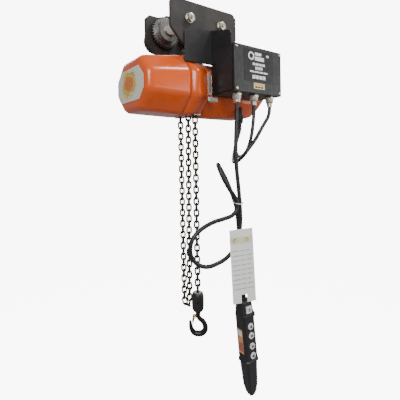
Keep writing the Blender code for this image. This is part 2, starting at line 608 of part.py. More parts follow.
def chains():
    """Plus-section bars along the straight strands; each stands for one run of links."""
    w, t = CHAIN_HALF_WIDTH, CHAIN_HALF_WIRE
    plus = [(w, t), (t, t), (t, w), (-t, w), (-t, t), (-w, t), (-w, -t), (-t, -t), (-t, -w), (t, -w), (t, -t), (w, -t)]
    prism("load_chain", [(x + CHAIN_X, y + LOAD_Y) for x, y in plus], "Z", LOAD_CHAIN_BOTTOM_Z, CHAIN_TOP_Z, CHAIN_STEEL)
    bend = [(SLACK_MIDDLE_Y - SLACK_HALF * math.cos(a), SLACK_BOTTOM_Z + SLACK_HALF - SLACK_HALF * math.sin(a))
            for a in (math.pi * i / 8 for i in range(9))]
    route = [(CHAIN_X, DEAD_END_Y, CHAIN_TOP_Z)] + [(CHAIN_X, y, z) for y, z in bend] + [(CHAIN_X, SLACK_Y, CHAIN_TOP_Z)]
    tube("slack_chain", route, 0.0100, CHAIN_STEEL)


def hook_block():
    x, y = CHAIN_X, LOAD_Y
    low, high = BLOCK_Z
    block_ = turned("hook_block", ((low, 0), (low, 0.012), (low + 0.006, BLOCK_RADIUS - 0.002), (low + 0.016, BLOCK_RADIUS),
                                   (high - 0.006, BLOCK_RADIUS), (high, BLOCK_RADIUS - 0.003), (high, 0)),
                    "Z", (x, y, 0), 20, RUBBER, place=(x, y, high))
    pocket = turned("pocket", ((low - 0.01, 0), (low - 0.01, 0.0093), (low + 0.010, 0.0093), (low + 0.010, 0.0135),
                               (low + 0.034, 0.0135), (low + 0.034, 0)), "Z", (x, y, 0), 16)
    cut(block_, pocket)
    cut(block_, rod("Z", (x, y, 0), high - 0.004, high + 0.01, 0.0145))
    turned("chain_collar", ((high - 0.0037, 0), (high - 0.0037, 0.0142), (high + 0.0007, 0.0142), (high + 0.0007, 0)),
           "Z", (x, y, 0), 16, ZINC, place=(x, y, high))


def hook_point(across, z):
    """World point in the plane of the hook at rest."""
    return (CHAIN_X + across * math.cos(HOOK_TURN), LOAD_Y + across * math.sin(HOOK_TURN), z)


def hook():
    x, y = CHAIN_X, LOAD_Y
    spine = [(x, y, SHANK_Z + 0.018), (x, y, SHANK_Z - 0.010)] + [hook_point(a, b) for a, b, _ in HOOK_SPINE]
    radii = [0.0088, 0.0088] + [r for _, _, r in HOOK_SPINE]
    tube("hook", spine, 0.0088, STEEL, radii)
    turned("hook_nut", ((-0.8690, 0), (-0.8690, 0.0120), (-0.8625, 0.0120), (-0.8625, 0)), "Z", (x, y, 0), 12, ZINC,
           place=(x, y, -0.866))


def hook_latch():
    """Sprung latch plate from the hook's neck to the inside of its tip."""
    outline = [(-0.0100, -0.9120), (-0.0140, -0.9090), (-0.0180, -0.9110), (-0.0200, -0.9240), (-0.0185, -0.9330),
               (-0.0155, -0.9320), (-0.0105, -0.9160)]
    latch = prism("hook_latch", outline, "Y", -0.0055, 0.0055, ZINC)
    latch.data.transform(Matrix.Translation((CHAIN_X, LOAD_Y, 0)) @ Matrix.Rotation(HOOK_TURN, 4, "Z"))
    move_origin(latch, hook_point(-0.0140, -0.9120))


def lean(down, across=0.0, depth=0.0):
    """World point from a distance down the pendant's axis, across its width and through its depth."""
    c, s = math.cos(PENDANT_LEAN), math.sin(PENDANT_LEAN)
    return PENDANT_TOP + Vector((s * down + c * across, depth, -c * down + s * across))


def pendant_shell(name, rows, finish, split):
    """Loft down the pendant's axis: rows of (down, half width, near depth, far depth)."""
    bm = bmesh.new()
    rings = []
    for down, half, near, far in rows:
        edge = min(0.006, abs(far - near) / 3)
        step = -1 if split == "front" else 1
        flat, shaped = (far, near) if split == "front" else (near, far)
        points = [(-half, flat), (half, flat), (half, shaped - step * edge), (half - edge, shaped), (-half + edge, shaped),
                  (-half, shaped - step * edge)]
        rings.append([bm.verts.new(lean(down, a, d)) for a, d in points])
    for ring, nxt in zip(rings, rings[1:]):
        edges = [bm.edges.get(pair) or bm.edges.new(pair) for r in (ring, nxt) for pair in zip(r, r[1:] + r[:1])]
        bmesh.ops.bridge_loops(bm, edges=edges)
    bm.faces.new(rings[0])
    bm.faces.new(rings[-1])
    return new_object(name, bm, finish)


def leaning_rod(down, radius, near, far, steps=16):
    """Cylinder through the pendant's front face, used for a button or its hole."""
    place = lean(down)
    return turned("rod", ((near, 0), (near, radius), (far, radius), (far, 0)), "Y", (place.x, PENDANT_TOP.y, place.z), steps)


def pendant():
    rows = ((0.000, 0.0160), (0.004, 0.0200), (0.040, 0.0230), (0.042, 0.0245), (0.050, 0.0245), (0.052, 0.0235),
            (0.184, 0.0240), (0.187, 0.0250), (0.192, 0.0250), (0.195, 0.0232), (0.268, 0.0200), (0.293, 0.0150),
            (0.306, 0.0085))
    depth = {0.042: -0.028, 0.050: -0.028, 0.187: -0.0255, 0.192: -0.0255, 0.195: -0.021, 0.268: -0.018,
             0.293: -0.014, 0.306: -0.009, 0.000: -0.017, 0.004: -0.021}
    front = [(d, w, depth.get(d, FACE_Y), -0.0002) for d, w in rows]
    back = [(d, w, 0.0002, -0.9 * depth.get(d, FACE_Y) if d not in (0.042, 0.050) else 0.0207) for d, w in rows]
    front_shell = pendant_shell("pendant_front", front, PLASTIC, "front")
    cut(front_shell, *[leaning_rod(d, BUTTON_RADIUS + 0.0008, -0.040, -0.012) for d in BUTTON_AT])
    seat, opening = lean(POWER_BUTTON_AT), POWER_BUTTON_HALF + 0.0008
    cut(front_shell, block("seat", (seat.x - opening, seat.x + opening), (-0.215, -0.187),
                           (seat.z - opening, seat.z + opening)))
    pendant_shell("pendant_back", back, PLASTIC, "back")

    for name, down in zip(BUTTON_NAMES, BUTTON_AT):
        place = lean(down)
        y = PENDANT_TOP.y
        turned(name, ((-0.0265, 0), (-0.0265, BUTTON_RADIUS - 0.001), (-0.0255, BUTTON_RADIUS), (-0.0155, BUTTON_RADIUS),
                      (-0.0155, 0)), "Y", (place.x, y, place.z), 14, WHITE_PLASTIC, place=(place.x, y - 0.02, place.z))
    power = block("button_power", (seat.x - POWER_BUTTON_HALF, seat.x + POWER_BUTTON_HALF), (-0.2005, -0.1905),
                  (seat.z - POWER_BUTTON_HALF, seat.z + POWER_BUTTON_HALF), WHITE_PLASTIC, 0.001)
    move_origin(power, (seat.x, -0.195, seat.z))

    top = lean(-0.0003)
    bm = bmesh.new()
    add_prism(bm, [(0.0080 * math.cos(a), 0.0080 * math.sin(a)) for a in (math.tau * i / 12 for i in range(12))], "Z",
              0.0, 0.0200)
    relief = new_object("cord_relief", bm, RUBBER)
    relief.data.transform(Matrix.Translation(top) @ Matrix.Rotation(-PENDANT_LEAN, 4, "Y"))


def main():
    clear_scene()
    side_plates()
    trolley_wheels()
    axles()
    drive_pinion()
    trolley_drive()
    suspension()
    hoist_housings()
    badges()
    chain_guide()
    hoist_cord_grips()
    gear_train()
    gear_bearing_plate()
    motor_and_brake()
    box_bracket()
    control_box()
    box_cord_grips()
    cords()
    warning_tag()
    chains()
    hook_block()
    hook()
    hook_latch()
    pendant()


main()
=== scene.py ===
import json
import math

import bmesh
import bpy
from mathutils import Matrix, Vector


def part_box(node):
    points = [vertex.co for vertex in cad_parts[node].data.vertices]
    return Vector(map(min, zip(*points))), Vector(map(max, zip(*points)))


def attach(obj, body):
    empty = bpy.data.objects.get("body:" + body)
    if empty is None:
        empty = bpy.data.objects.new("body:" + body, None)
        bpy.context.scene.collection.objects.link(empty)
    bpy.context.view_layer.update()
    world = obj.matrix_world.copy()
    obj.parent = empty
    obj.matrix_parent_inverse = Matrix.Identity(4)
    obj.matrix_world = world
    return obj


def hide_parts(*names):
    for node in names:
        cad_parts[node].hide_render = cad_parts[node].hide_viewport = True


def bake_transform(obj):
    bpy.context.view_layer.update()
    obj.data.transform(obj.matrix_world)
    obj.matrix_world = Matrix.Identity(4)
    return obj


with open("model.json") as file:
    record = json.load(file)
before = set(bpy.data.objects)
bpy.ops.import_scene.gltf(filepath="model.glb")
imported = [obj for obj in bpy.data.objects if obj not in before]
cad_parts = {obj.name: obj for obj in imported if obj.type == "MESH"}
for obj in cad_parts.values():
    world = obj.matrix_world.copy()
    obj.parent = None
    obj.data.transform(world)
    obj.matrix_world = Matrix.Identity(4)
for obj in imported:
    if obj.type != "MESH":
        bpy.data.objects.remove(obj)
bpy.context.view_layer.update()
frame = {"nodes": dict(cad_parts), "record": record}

bl_info = {
    "name": "Workshop Chain Hoist",
    "version": (1, 0, 0),
    "blender": (4, 5, 0),
    "location": "3D View > Sidebar > Hoist",
    "description": "Finishes a packed electric chain hoist with its chain, cords, pendant and studio",
    "category": "Object",
}

CHAIN_X, LOAD_Y, DEAD_Y, SLACK_Y = -0.016, -0.042, -0.003, 0.047
BLOCK_LOW, BLOCK_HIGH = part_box("hook_block")[0][2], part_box("hook_block")[1][2]
SLACK_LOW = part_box("slack_chain")[0][2]
BOX_LOW, BOX_HIGH = (Vector(corner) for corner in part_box("control_box"))
COVER_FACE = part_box("box_cover")[0][1]
HOOK_TURN = math.radians(-36)
PENDANT_TOP = Vector((0.060, -0.175, -0.829))
PENDANT_LEAN = math.radians(5.5)
AXLE_Z = 0.038
BUTTONS_DOWN = {"up": 0.078, "down": 0.107, "left": 0.140, "right": 0.170}
POWER_KEY_DOWN = 0.026
TAG_TOP, TAG_WIDTH, TAG_HEIGHT = (0.028, -0.205, -0.604), 0.074, 0.218
TAG_NOTCH_HALF, TAG_NOTCH_HEIGHT = 0.009, 0.024
TAG_TURN, TAG_TILT = math.radians(-20), math.radians(-2.3)
SLACK_MIDDLE, SLACK_HALF = 0.022, 0.016
LINK_REACH = 0.0105
LOAD_CHAIN_TOP, SLACK_TOP = -0.184, -0.21
GRIP_Y = -0.175
CAMERA_PLACE = (-0.6358, -0.9167, -0.376)
CAMERA_BEARING, CAMERA_ROLL = math.radians(36.1), math.radians(0.9)
CAMERA_LENS, CAMERA_SHIFT = 29.475, -0.119

# The hook's middle line as (across, height, radius), from its shank to its tip.
HOOK_SPINE = (
    (0.000, -0.870, 0.0087), (0.000, -0.898, 0.0087), (0.000, -0.906, 0.0076), (0.000, -0.912, 0.0070),
    (0.005, -0.919, 0.0075), (0.016, -0.929, 0.0078), (0.0225, -0.942, 0.0084), (0.0225, -0.956, 0.0090),
    (0.013, -0.966, 0.0094), (0.000, -0.9685, 0.0094), (-0.013, -0.965, 0.0086), (-0.022, -0.953, 0.0074),
    (-0.0245, -0.940, 0.0062), (-0.0260, -0.929, 0.0048), (-0.0270, -0.9245, 0.0026),
)

PENDANT_ROUTE = (
    (0.0475, -0.175, -0.229), (0.0465, -0.175, -0.262), (0.0420, -0.176, -0.310),
    (0.0380, -0.177, -0.370), (0.0390, -0.179, -0.430), (0.0430, -0.182, -0.490),
    (0.0455, -0.184, -0.541), (0.0460, -0.184, -0.590), (0.0400, -0.183, -0.630),
    (0.0220, -0.181, -0.666), (-0.0060, -0.178, -0.689), (-0.0400, -0.175, -0.700),
    (-0.0760, -0.173, -0.702), (-0.1070, -0.172, -0.688), (-0.1270, -0.172, -0.664),
    (-0.1320, -0.173, -0.640), (-0.1240, -0.175, -0.614), (-0.1000, -0.179, -0.592),
    (-0.0600, -0.186, -0.575), (-0.0250, -0.194, -0.568), (0.0000, -0.198, -0.562),
    (0.0160, -0.200, -0.548), (0.0190, -0.201, -0.527), (0.0060, -0.203, -0.506),
    (-0.0136, -0.206, -0.484), (-0.0320, -0.206, -0.458), (-0.0410, -0.200, -0.434),
    (-0.0380, -0.187, -0.418), (-0.0268, -0.170, -0.4123), (-0.0092, -0.153, -0.4173),
    (0.0121, -0.1406, -0.4343), (0.0296, -0.1380, -0.4586), (0.0395, -0.1440, -0.4868),
    (0.0435, -0.1550, -0.5154), (0.0460, -0.1650, -0.543), (0.0500, -0.169, -0.590),
    (0.0525, -0.170, -0.635), (0.0535, -0.172, -0.690), (0.0543, -0.174, -0.740),
    (0.0560, -0.175, -0.780), (0.0580, -0.175, -0.8085),
)
POWER_ROUTE = (
    (0.1205, -0.175, -0.2300), (0.1202, -0.175, -0.246), (0.1175, -0.175, -0.275), (0.1105, -0.174, -0.318),
    (0.1050, -0.169, -0.350), (0.1015, -0.155, -0.378), (0.1000, -0.136, -0.391), (0.1030, -0.115, -0.389),
    (0.1110, -0.097, -0.371), (0.1255, -0.084, -0.341), (0.1440, -0.073, -0.309), (0.1588, -0.068, -0.285),
    (0.1600, -0.068, -0.2691),
)
CONTROL_ROUTE = (
    (0.1935, -0.175, -0.2300), (0.1928, -0.175, -0.243), (0.1850, -0.176, -0.262), (0.1540, -0.181, -0.294),
    (0.1120, -0.187, -0.339), (0.0900, -0.183, -0.364), (0.0780, -0.171, -0.386), (0.0730, -0.153, -0.402),
    (0.0770, -0.132, -0.409), (0.0890, -0.109, -0.408), (0.1090, -0.087, -0.395), (0.1320, -0.068, -0.370),
    (0.1570, -0.053, -0.336), (0.1760, -0.046, -0.305), (0.1815, -0.045, -0.289), (0.1810, -0.045, -0.2767),
)
FINISHES = {}


# ---------------------------------------------------------------- settings


def colour_setting(name, description, default):
    return bpy.props.FloatVectorProperty(
        name=name, description=description, subtype="COLOR", size=3, min=0.0, max=1.0, default=default)


def length_setting(name, description, default, **limits):
    return bpy.props.FloatProperty(
        name=name, description=description, default=default, subtype="DISTANCE", unit="LENGTH", **limits)


class HoistFinishSettings(bpy.types.PropertyGroup):
    """Colours of the paint, plastic and plating."""

    orange: colour_setting("Housing Paint", "Gloss enamel on the hoist body", (0.80, 0.100, 0.003))
    black: colour_setting("Box Paint", "Textured paint on the control box and bracket", (0.017, 0.016, 0.018))
    plate: colour_setting("Trolley Paint", "Dull paint on the trolley's side plates", (0.020, 0.018, 0.018))
    chain: colour_setting("Chain Steel", "Oiled, case-hardened chain", (0.050, 0.042, 0.030))
    plating: colour_setting("Zinc Plating", "Nuts, cord grips and small fittings", (0.62, 0.60, 0.54))
    key: colour_setting("Pendant Keys", "Moulded push buttons", (0.80, 0.80, 0.77))


class HoistSizeSettings(bpy.types.PropertyGroup):
    """Sizes of the chain, cords and rounded corners."""

    chain_wire: length_setting("Chain Wire", "Diameter of the chain's bar", 0.0063, min=0.003, max=0.012)
    chain_pitch: length_setting("Chain Pitch", "Inner length of one link", 0.019, min=0.01, max=0.04)
    chain_width: length_setting("Link Width", "Outer width of one link", 0.0205, min=0.01, max=0.04)
    pendant_cord: length_setting("Pendant Cord", "Diameter of the pendant's cord", 0.0126,
                                 min=0.005, max=0.02)
    body_cord: length_setting("Body Cords", "Diameter of the cords from the box to the hoist", 0.0116,
                              min=0.005, max=0.02)
    housing_round: length_setting("Housing Corners", "Rounding of the housings' long corners", 0.012,
                                  min=0.002, max=0.02)


class HoistStageSettings(bpy.types.PropertyGroup):
    """Studio around the hoist."""

    floor: length_setting("Floor Height", "Height of the floor under the hanging hoist", -1.62)
    backdrop: colour_setting("Backdrop", "Colour of the floor and wall", (0.93, 0.93, 0.925))
    glow: bpy.props.FloatProperty(
        name="Backdrop Glow", description="Brightness of the paper and sky to the camera",
        default=8.0, min=0.0)
    key_power: bpy.props.FloatProperty(
        name="Key Light", description="Power of the large soft light", default=80.0, min=0.0, unit="POWER")
    world: bpy.props.FloatProperty(
        name="Ambient", description="Strength of the even light from all round", default=0.30, min=0.0)


def finish_settings():
    return bpy.context.scene.hoist_finish


def sizes():
    return bpy.context.scene.hoist_sizes


# ---------------------------------------------------------------- finishes


def add_node(mat, kind, **inputs):
    node = mat.node_tree.nodes.new(kind)
    for socket, value in inputs.items():
        node.inputs[socket.replace("_", " ")].default_value = value
    return node


def object_coordinates(mat, scale=(1.0, 1.0, 1.0)):
    """Object coordinates through a Mapping node that stretches the pattern."""
    links = mat.node_tree.links
    coords = mat.node_tree.nodes.new("ShaderNodeTexCoord")
    mapping = add_node(mat, "ShaderNodeMapping", Scale=scale)
    links.new(coords.outputs["Object"], mapping.inputs["Vector"])
    return mapping.outputs["Vector"]


def noise(mat, vector, scale, detail=4.0, rough=0.55):
    node = add_node(mat, "ShaderNodeTexNoise", Scale=scale, Detail=detail, Roughness=rough)
    mat.node_tree.links.new(vector, node.inputs["Vector"])
    return node.outputs["Fac"]


def spread(mat, value, low, high, start=0.35, stop=0.65):
    """Stretch a noise value over a range of its own."""
    node = mat.node_tree.nodes.new("ShaderNodeMapRange")
    for socket, number in zip(("From Min", "From Max", "To Min", "To Max"), (start, stop, low, high)):
        node.inputs[socket].default_value = number
    mat.node_tree.links.new(value, node.inputs["Value"])
    return node.outputs["Result"]


def blend_colours(mat, factor, first, second):
    """Mix two colours, each a triple or another node's output."""
    node = mat.node_tree.nodes.new("ShaderNodeMix")
    node.data_type = "RGBA"
    mat.node_tree.links.new(factor, node.inputs["Factor"])
    for socket, colour in zip((6, 7), (first, second)):
        if isinstance(colour, bpy.types.NodeSocket):
            mat.node_tree.links.new(colour, node.inputs[socket])
        else:
            node.inputs[socket].default_value = (*colour, 1.0)
    return node.outputs[2]


def shade(colour, factor):
    return tuple(min(1.0, c * factor) for c in colour)


def finish(name, colour, roughness, metallic=0.0, coat=0.0, vary=0.12, blotch=14.0, grain=420.0, relief=0.12,
           rough_vary=0.07, tint=None, stretch=(1.0, 1.0, 1.0), specular=0.5):
    """Worn, slightly uneven surface: blotches in colour and gloss, and a fine grain."""
    mat = bpy.data.materials.new(name)
    mat.use_nodes = True
    shader = mat.node_tree.nodes["Principled BSDF"]
    links = mat.node_tree.links
    shader.inputs["Metallic"].default_value = metallic
    shader.inputs["Coat Weight"].default_value = coat
    shader.inputs["Coat Roughness"].default_value = 0.12
    shader.inputs["Specular IOR Level"].default_value = specular
    vector = object_coordinates(mat)
    fine = object_coordinates(mat, stretch)
    patches = spread(mat, noise(mat, vector, blotch, 6.0, 0.62), 0.0, 1.0)
    base = blend_colours(mat, patches, shade(colour, 1 - vary), tint or shade(colour, 1 + vary))
    links.new(base, shader.inputs["Base Color"])
    gloss = spread(mat, noise(mat, vector, blotch * 5, 5.0), roughness - rough_vary, roughness + rough_vary)
    links.new(gloss, shader.inputs["Roughness"])
    bump = add_node(mat, "ShaderNodeBump", Strength=relief, Distance=0.0006)
    links.new(noise(mat, fine, grain, 3.0), bump.inputs["Height"])
    links.new(bump.outputs["Normal"], shader.inputs["Normal"])
    FINISHES[name] = mat
    return mat


def badge_finish():
    """Cream label with a generic splash of yellow, orange and green in its middle."""
    mat = finish("badge_print", (0.80, 0.77, 0.66), 0.3, coat=0.3, vary=0.03, relief=0.02)
    nodes, links = mat.node_tree.nodes, mat.node_tree.links
    coords = nodes.new("ShaderNodeTexCoord")
    centre = add_node(mat, "ShaderNodeMapping", Location=(0.0, -0.10, 3.35), Scale=(1.0, 16.0, 20.0))
    links.new(coords.outputs["Object"], centre.inputs["Vector"])
    ball = nodes.new("ShaderNodeTexGradient")
    ball.gradient_type = "SPHERICAL"
    flat = nodes.new("ShaderNodeVectorMath")
    flat.operation = "MULTIPLY"
    flat.inputs[1].default_value = (0.0, 1.0, 1.0)
    links.new(centre.outputs["Vector"], flat.inputs[0])
    links.new(flat.outputs["Vector"], ball.inputs["Vector"])
    splash = nodes.new("ShaderNodeMath")
    splash.operation = "ADD"
    links.new(ball.outputs["Fac"], splash.inputs[0])
    links.new(noise(mat, object_coordinates(mat), 42.0, 5.0, 0.7), splash.inputs[1])
    ramp = nodes.new("ShaderNodeValToRGB")
    ramp.color_ramp.interpolation = "CONSTANT"
    stops = ((0.0, (0.80, 0.77, 0.66)), (0.62, (0.85, 0.60, 0.10)), (0.72, (0.80, 0.77, 0.66)),
             (0.80, (0.25, 0.36, 0.10)), (0.86, (0.86, 0.52, 0.05)), (1.0, (0.72, 0.20, 0.03)))
    ramp.color_ramp.elements[0].color = (*stops[0][1], 1.0)
    ramp.color_ramp.elements[1].position = stops[-1][0]
    ramp.color_ramp.elements[1].color = (*stops[-1][1], 1.0)
    for place, colour in stops[1:-1]:
        ramp.color_ramp.elements.new(place).color = (*colour, 1.0)
    links.new(splash.outputs[0], ramp.inputs["Fac"])
    links.new(ramp.outputs["Color"], nodes["Principled BSDF"].inputs["Base Color"])


def make_finishes():
    """All finishes, by the record's material slots and by the small marks' own names."""
    look = finish_settings()
    finish("orange_paint", look.orange, 0.30, coat=0.6, vary=0.06, blotch=7, grain=160,
           relief=0.04, rough_vary=0.03)
    finish("black_paint", look.black, 0.50, vary=0.3, grain=520, relief=0.45)
    finish("grey_paint", look.plate, 0.55, vary=0.25, grain=300, relief=0.3,
           tint=(0.040, 0.034, 0.030))
    finish("zinc", look.plating, 0.34, metallic=0.95, vary=0.12, blotch=60, grain=900, relief=0.1,
           tint=(0.72, 0.67, 0.52))
    finish("steel", (0.30, 0.29, 0.28), 0.36, metallic=0.95, vary=0.25, blotch=40, grain=600,
           stretch=(1, 1, 0.2))
    finish("chain_steel", look.chain, 0.34, metallic=0.85, vary=0.4, blotch=90, grain=700,
           tint=(0.11, 0.085, 0.055), rough_vary=0.10)
    finish("aluminium", (0.62, 0.59, 0.52), 0.42, metallic=0.85, blotch=50, grain=700, relief=0.25)
    finish("winding", (0.45, 0.16, 0.06), 0.35, metallic=0.6, stretch=(9, 1, 1), relief=0.5, grain=300)
    finish("black_rubber", (0.014, 0.014, 0.015), 0.42, vary=0.3, blotch=35, grain=800, relief=0.2,
           tint=(0.024, 0.023, 0.022))
    finish("black_plastic", (0.016, 0.016, 0.019), 0.45, vary=0.2, blotch=40, grain=1400,
           relief=0.35)
    finish("white_plastic", look.key, 0.33, vary=0.05, blotch=80, grain=900, relief=0.06)
    finish("tag_stock", (0.95, 0.945, 0.92), 0.45, vary=0.04, blotch=12, grain=300, relief=0.1)
    badge_finish()
    finish("dark_steel", (0.035, 0.032, 0.030), 0.35, metallic=0.8, vary=0.3, blotch=60, grain=600)
    finish("yellow_plating", (0.60, 0.50, 0.26), 0.32, metallic=0.9, vary=0.2, blotch=120)
    finish("label_black", (0.004, 0.004, 0.005), 0.45, vary=0.1, grain=200, relief=0.03)
    finish("label_white", (0.92, 0.92, 0.90), 0.4, vary=0.03, relief=0.03)
    finish("label_orange", (0.74, 0.36, 0.16), 0.4, vary=0.08, relief=0.03)
    finish("label_yellow", (0.84, 0.72, 0.30), 0.4, vary=0.08, relief=0.03)
    finish("label_red", (0.48, 0.13, 0.08), 0.4, vary=0.08, relief=0.03)
    finish("label_pale", (0.80, 0.76, 0.52), 0.4, vary=0.05, relief=0.03)
    finish("print_faint", (0.52, 0.52, 0.53), 0.5, vary=0.1, relief=0.03)
    finish("cover_grey", (0.026, 0.025, 0.026), 0.45, vary=0.3, grain=520, relief=0.45)
    finish("print_grey", (0.33, 0.33, 0.34), 0.5, vary=0.1, relief=0.03)


# ---------------------------------------------------------------- mesh helpers


def publish(name, bm, finish_name, body, replaces=(), smooth=38, normals=True, bevel=0.0):
    """Turn a bmesh into a finished piece that rides on a body."""
    if normals:
        bmesh.ops.remove_doubles(bm, verts=bm.verts, dist=1e-6)
        bmesh.ops.recalc_face_normals(bm, faces=bm.faces)
    mesh = bpy.data.meshes.new(name)
    bm.to_mesh(mesh)
    bm.free()
    mesh.materials.append(FINISHES[finish_name])
    obj = bpy.data.objects.new(name, mesh)
    bpy.context.scene.collection.objects.link(obj)
    if smooth:
        mesh.shade_smooth()
        mesh.set_sharp_from_angle(angle=math.radians(smooth))
    if bevel:
        mod = obj.modifiers.new("rounded_edges", "BEVEL")
        mod.width, mod.segments, mod.limit_method, mod.angle_limit = bevel, 3, "ANGLE", math.radians(32)
        mod.harden_normals = True
    if body:
        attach(obj, body)
    if replaces:
        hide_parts(*replaces)
    return obj


def stand_in(node, bm, finish_name, body, smooth=38, normals=True, bevel=0.0):
    """Publish a piece in the place of one CAD node, and hide that node."""
    return publish(f"{node}_finished", bm, finish_name, body, (node,), smooth, normals, bevel)


def rounded_copy(node, finish_name, body, bevel):
    """A CAD node's own shape with its corners merged and its edges rounded."""
    bm = bmesh.new()
    bm.from_mesh(frame["nodes"][node].data)
    bmesh.ops.remove_doubles(bm, verts=bm.verts, dist=1e-5)
    bmesh.ops.dissolve_limit(bm, angle_limit=math.radians(1.5), verts=bm.verts, edges=bm.edges)
    return stand_in(node, bm, finish_name, body, normals=False, bevel=bevel)


def edges_at(verts):
    """Every edge that touches one of the vertices."""
    return {e for v in verts for e in v.link_edges}


def of_kind(geom, kind):
    """The vertices or edges among the results of a mesh operator."""
    return [g for g in geom if isinstance(g, kind)]


def turn_to(direction):
    """Matrix that turns +Z to a direction."""
    return Vector((0, 0, 1)).rotation_difference(Vector(direction).normalized()).to_matrix().to_4x4()


def facing_front(point):
    """Placing matrix at a point, with its Z axis along the hoist's -Y."""
    return Matrix.Translation(point) @ turn_to((0, -1, 0))


def add_block(bm, low, high, bevel=0.0, segments=2, place=None):
    low, high = Vector(low), Vector(high)
    scale = Matrix.Diagonal((*(high - low), 1.0))
    made = bmesh.ops.create_cube(bm, size=1.0, matrix=Matrix.Translation((low + high) / 2) @ scale)["verts"]
    if bevel:
        out = bmesh.ops.bevel(bm, geom=list(edges_at(made)), offset=bevel, segments=segments,
                              affect="EDGES", profile=0.5, material=-1)
        made = list(set(v for v in made if v.is_valid) | set(out["verts"]))
    if place is not None:
        bmesh.ops.transform(bm, matrix=place, verts=made)
    return made


def add_bar(bm, start, end, radius, sides=24, end_radius=None, bevel=0.0):
    """Round or many-sided bar between two points, with its end rims broken by a bevel."""
    start, end = Vector(start), Vector(end)
    matrix = Matrix.Translation((start + end) / 2) @ turn_to(end - start)
    made = bmesh.ops.create_cone(
        bm, cap_ends=True, segments=sides, radius1=radius,
        radius2=radius if end_radius is None else end_radius,
        depth=(end - start).length, matrix=matrix)["verts"]
    if bevel:
        rims = [e for e in edges_at(made) if any(len(f.verts) > 4 for f in e.link_faces)]
        bmesh.ops.bevel(bm, geom=rims, offset=bevel, segments=2, affect="EDGES", profile=0.5, material=-1)


def add_turned(bm, profile, place, steps=40):
    """Spin a profile of (along, radius) pairs round the local Z axis of a placing matrix."""
    verts = [bm.verts.new((r, 0.0, t)) for t, r in profile]
    edges = [bm.edges.new(pair) for pair in zip(verts, verts[1:])]
    if profile[0][1] > 0 and profile[-1][1] > 0:
        edges.append(bm.edges.new((verts[-1], verts[0])))
    before = set(bm.verts) - set(verts)
    bmesh.ops.spin(bm, geom=verts + edges, cent=(0, 0, 0), axis=(0, 0, 1), angle=math.tau,
                   steps=steps, use_merge=True)
    made = [v for v in bm.verts if v not in before]
    bmesh.ops.remove_doubles(bm, verts=made, dist=1e-6)
    made = [v for v in bm.verts if v not in before]
    bmesh.ops.transform(bm, matrix=place, verts=made)


def add_socket_screw(bm, at, outward, radius, height):
    """Socket head screw standing on a surface."""
    at, outward = Vector(at), Vector(outward).normalized()
    profile = ((0, 0), (0, radius), (height - radius * 0.15, radius), (height, radius * 0.85),
               (height, radius * 0.5), (height * 0.45, radius * 0.5), (height * 0.45, 0))
    add_turned(bm, profile, Matrix.Translation(at) @ turn_to(outward), 20)


def add_hex_nut(bm, at, outward, across, height):
    """Hexagon nut with the end of its thread standing out."""
    at, outward = Vector(at), Vector(outward).normalized()
    add_bar(bm, at, at + outward * height, across * 0.577, 6, bevel=across * 0.04)
    add_bar(bm, at + outward * height, at + outward * height * 1.45, across * 0.28, 20, bevel=across * 0.03)


def octagon(half_width, bottom, top, corner_top, corner_bottom):
    w, t, b = half_width, corner_top, corner_bottom
    return ((-w, bottom + b), (-w + b, bottom), (w - b, bottom), (w, bottom + b),
            (w, top - t), (w - t, top), (-w + t, top), (-w, top - t))


def add_housing(bm, sections, rounding, closed_start=False, closed_end=False):
    """Eight-sided housing drawn out of its first section and rounded along its corners."""
    x, outline = sections[0]
    face = bm.faces.new([bm.verts.new((x, y, z)) for y, z in outline])
    first_ring = list(face.verts)
    for x, outline in sections[1:]:
        before = face
        made = bmesh.ops.extrude_face_region(bm, geom=[face])["geom"]
        face = next(g for g in made if isinstance(g, bmesh.types.BMFace))
        if before.is_valid and before.verts[0] not in first_ring:
            bmesh.ops.delete(bm, geom=[before], context="FACES_ONLY")
        for vert in face.verts:
            vert.co.x = x
        for vert, (y, z) in zip(match_ring(face, outline), outline):
            vert.co = (x, y, z)
    for end, closed in ((sections[0][0], closed_start), (sections[-1][0], closed_end)):
        caps = [f for f in bm.faces if all(abs(v.co.x - end) < 1e-7 for v in f.verts)]
        bmesh.ops.delete(bm, geom=[] if closed else caps, context="FACES_ONLY")
    bmesh.ops.recalc_face_normals(bm, faces=bm.faces)
    edges = [e for e in bm.edges if e.is_manifold and e.calc_face_angle(0) > math.radians(30)]
    bmesh.ops.bevel(bm, geom=edges, offset=rounding, segments=5, affect="EDGES", profile=0.5, material=-1,
                    clamp_overlap=True)
    bmesh.ops.recalc_face_normals(bm, faces=bm.faces)


def by_angle(points):
    """Order in which points follow each other round their middle."""
    cy, cz = (sum(p[k] for p in points) / len(points) for k in (0, 1))
    return sorted(range(len(points)), key=lambda i: math.atan2(points[i][1] - cz, points[i][0] - cy))


def match_ring(face, outline):
    """Face corners ordered as the outline is, by their place round the ring."""
    verts = list(face.verts)
    placed = [None] * len(outline)
    for k, i in zip(by_angle([(v.co.y, v.co.z) for v in verts]), by_angle(outline)):
        placed[i] = verts[k]
    return placed


def hollow(obj, wall):
    mod = obj.modifiers.new("wall", "SOLIDIFY")
    mod.thickness, mod.offset, mod.use_even_offset = wall, -1.0, True


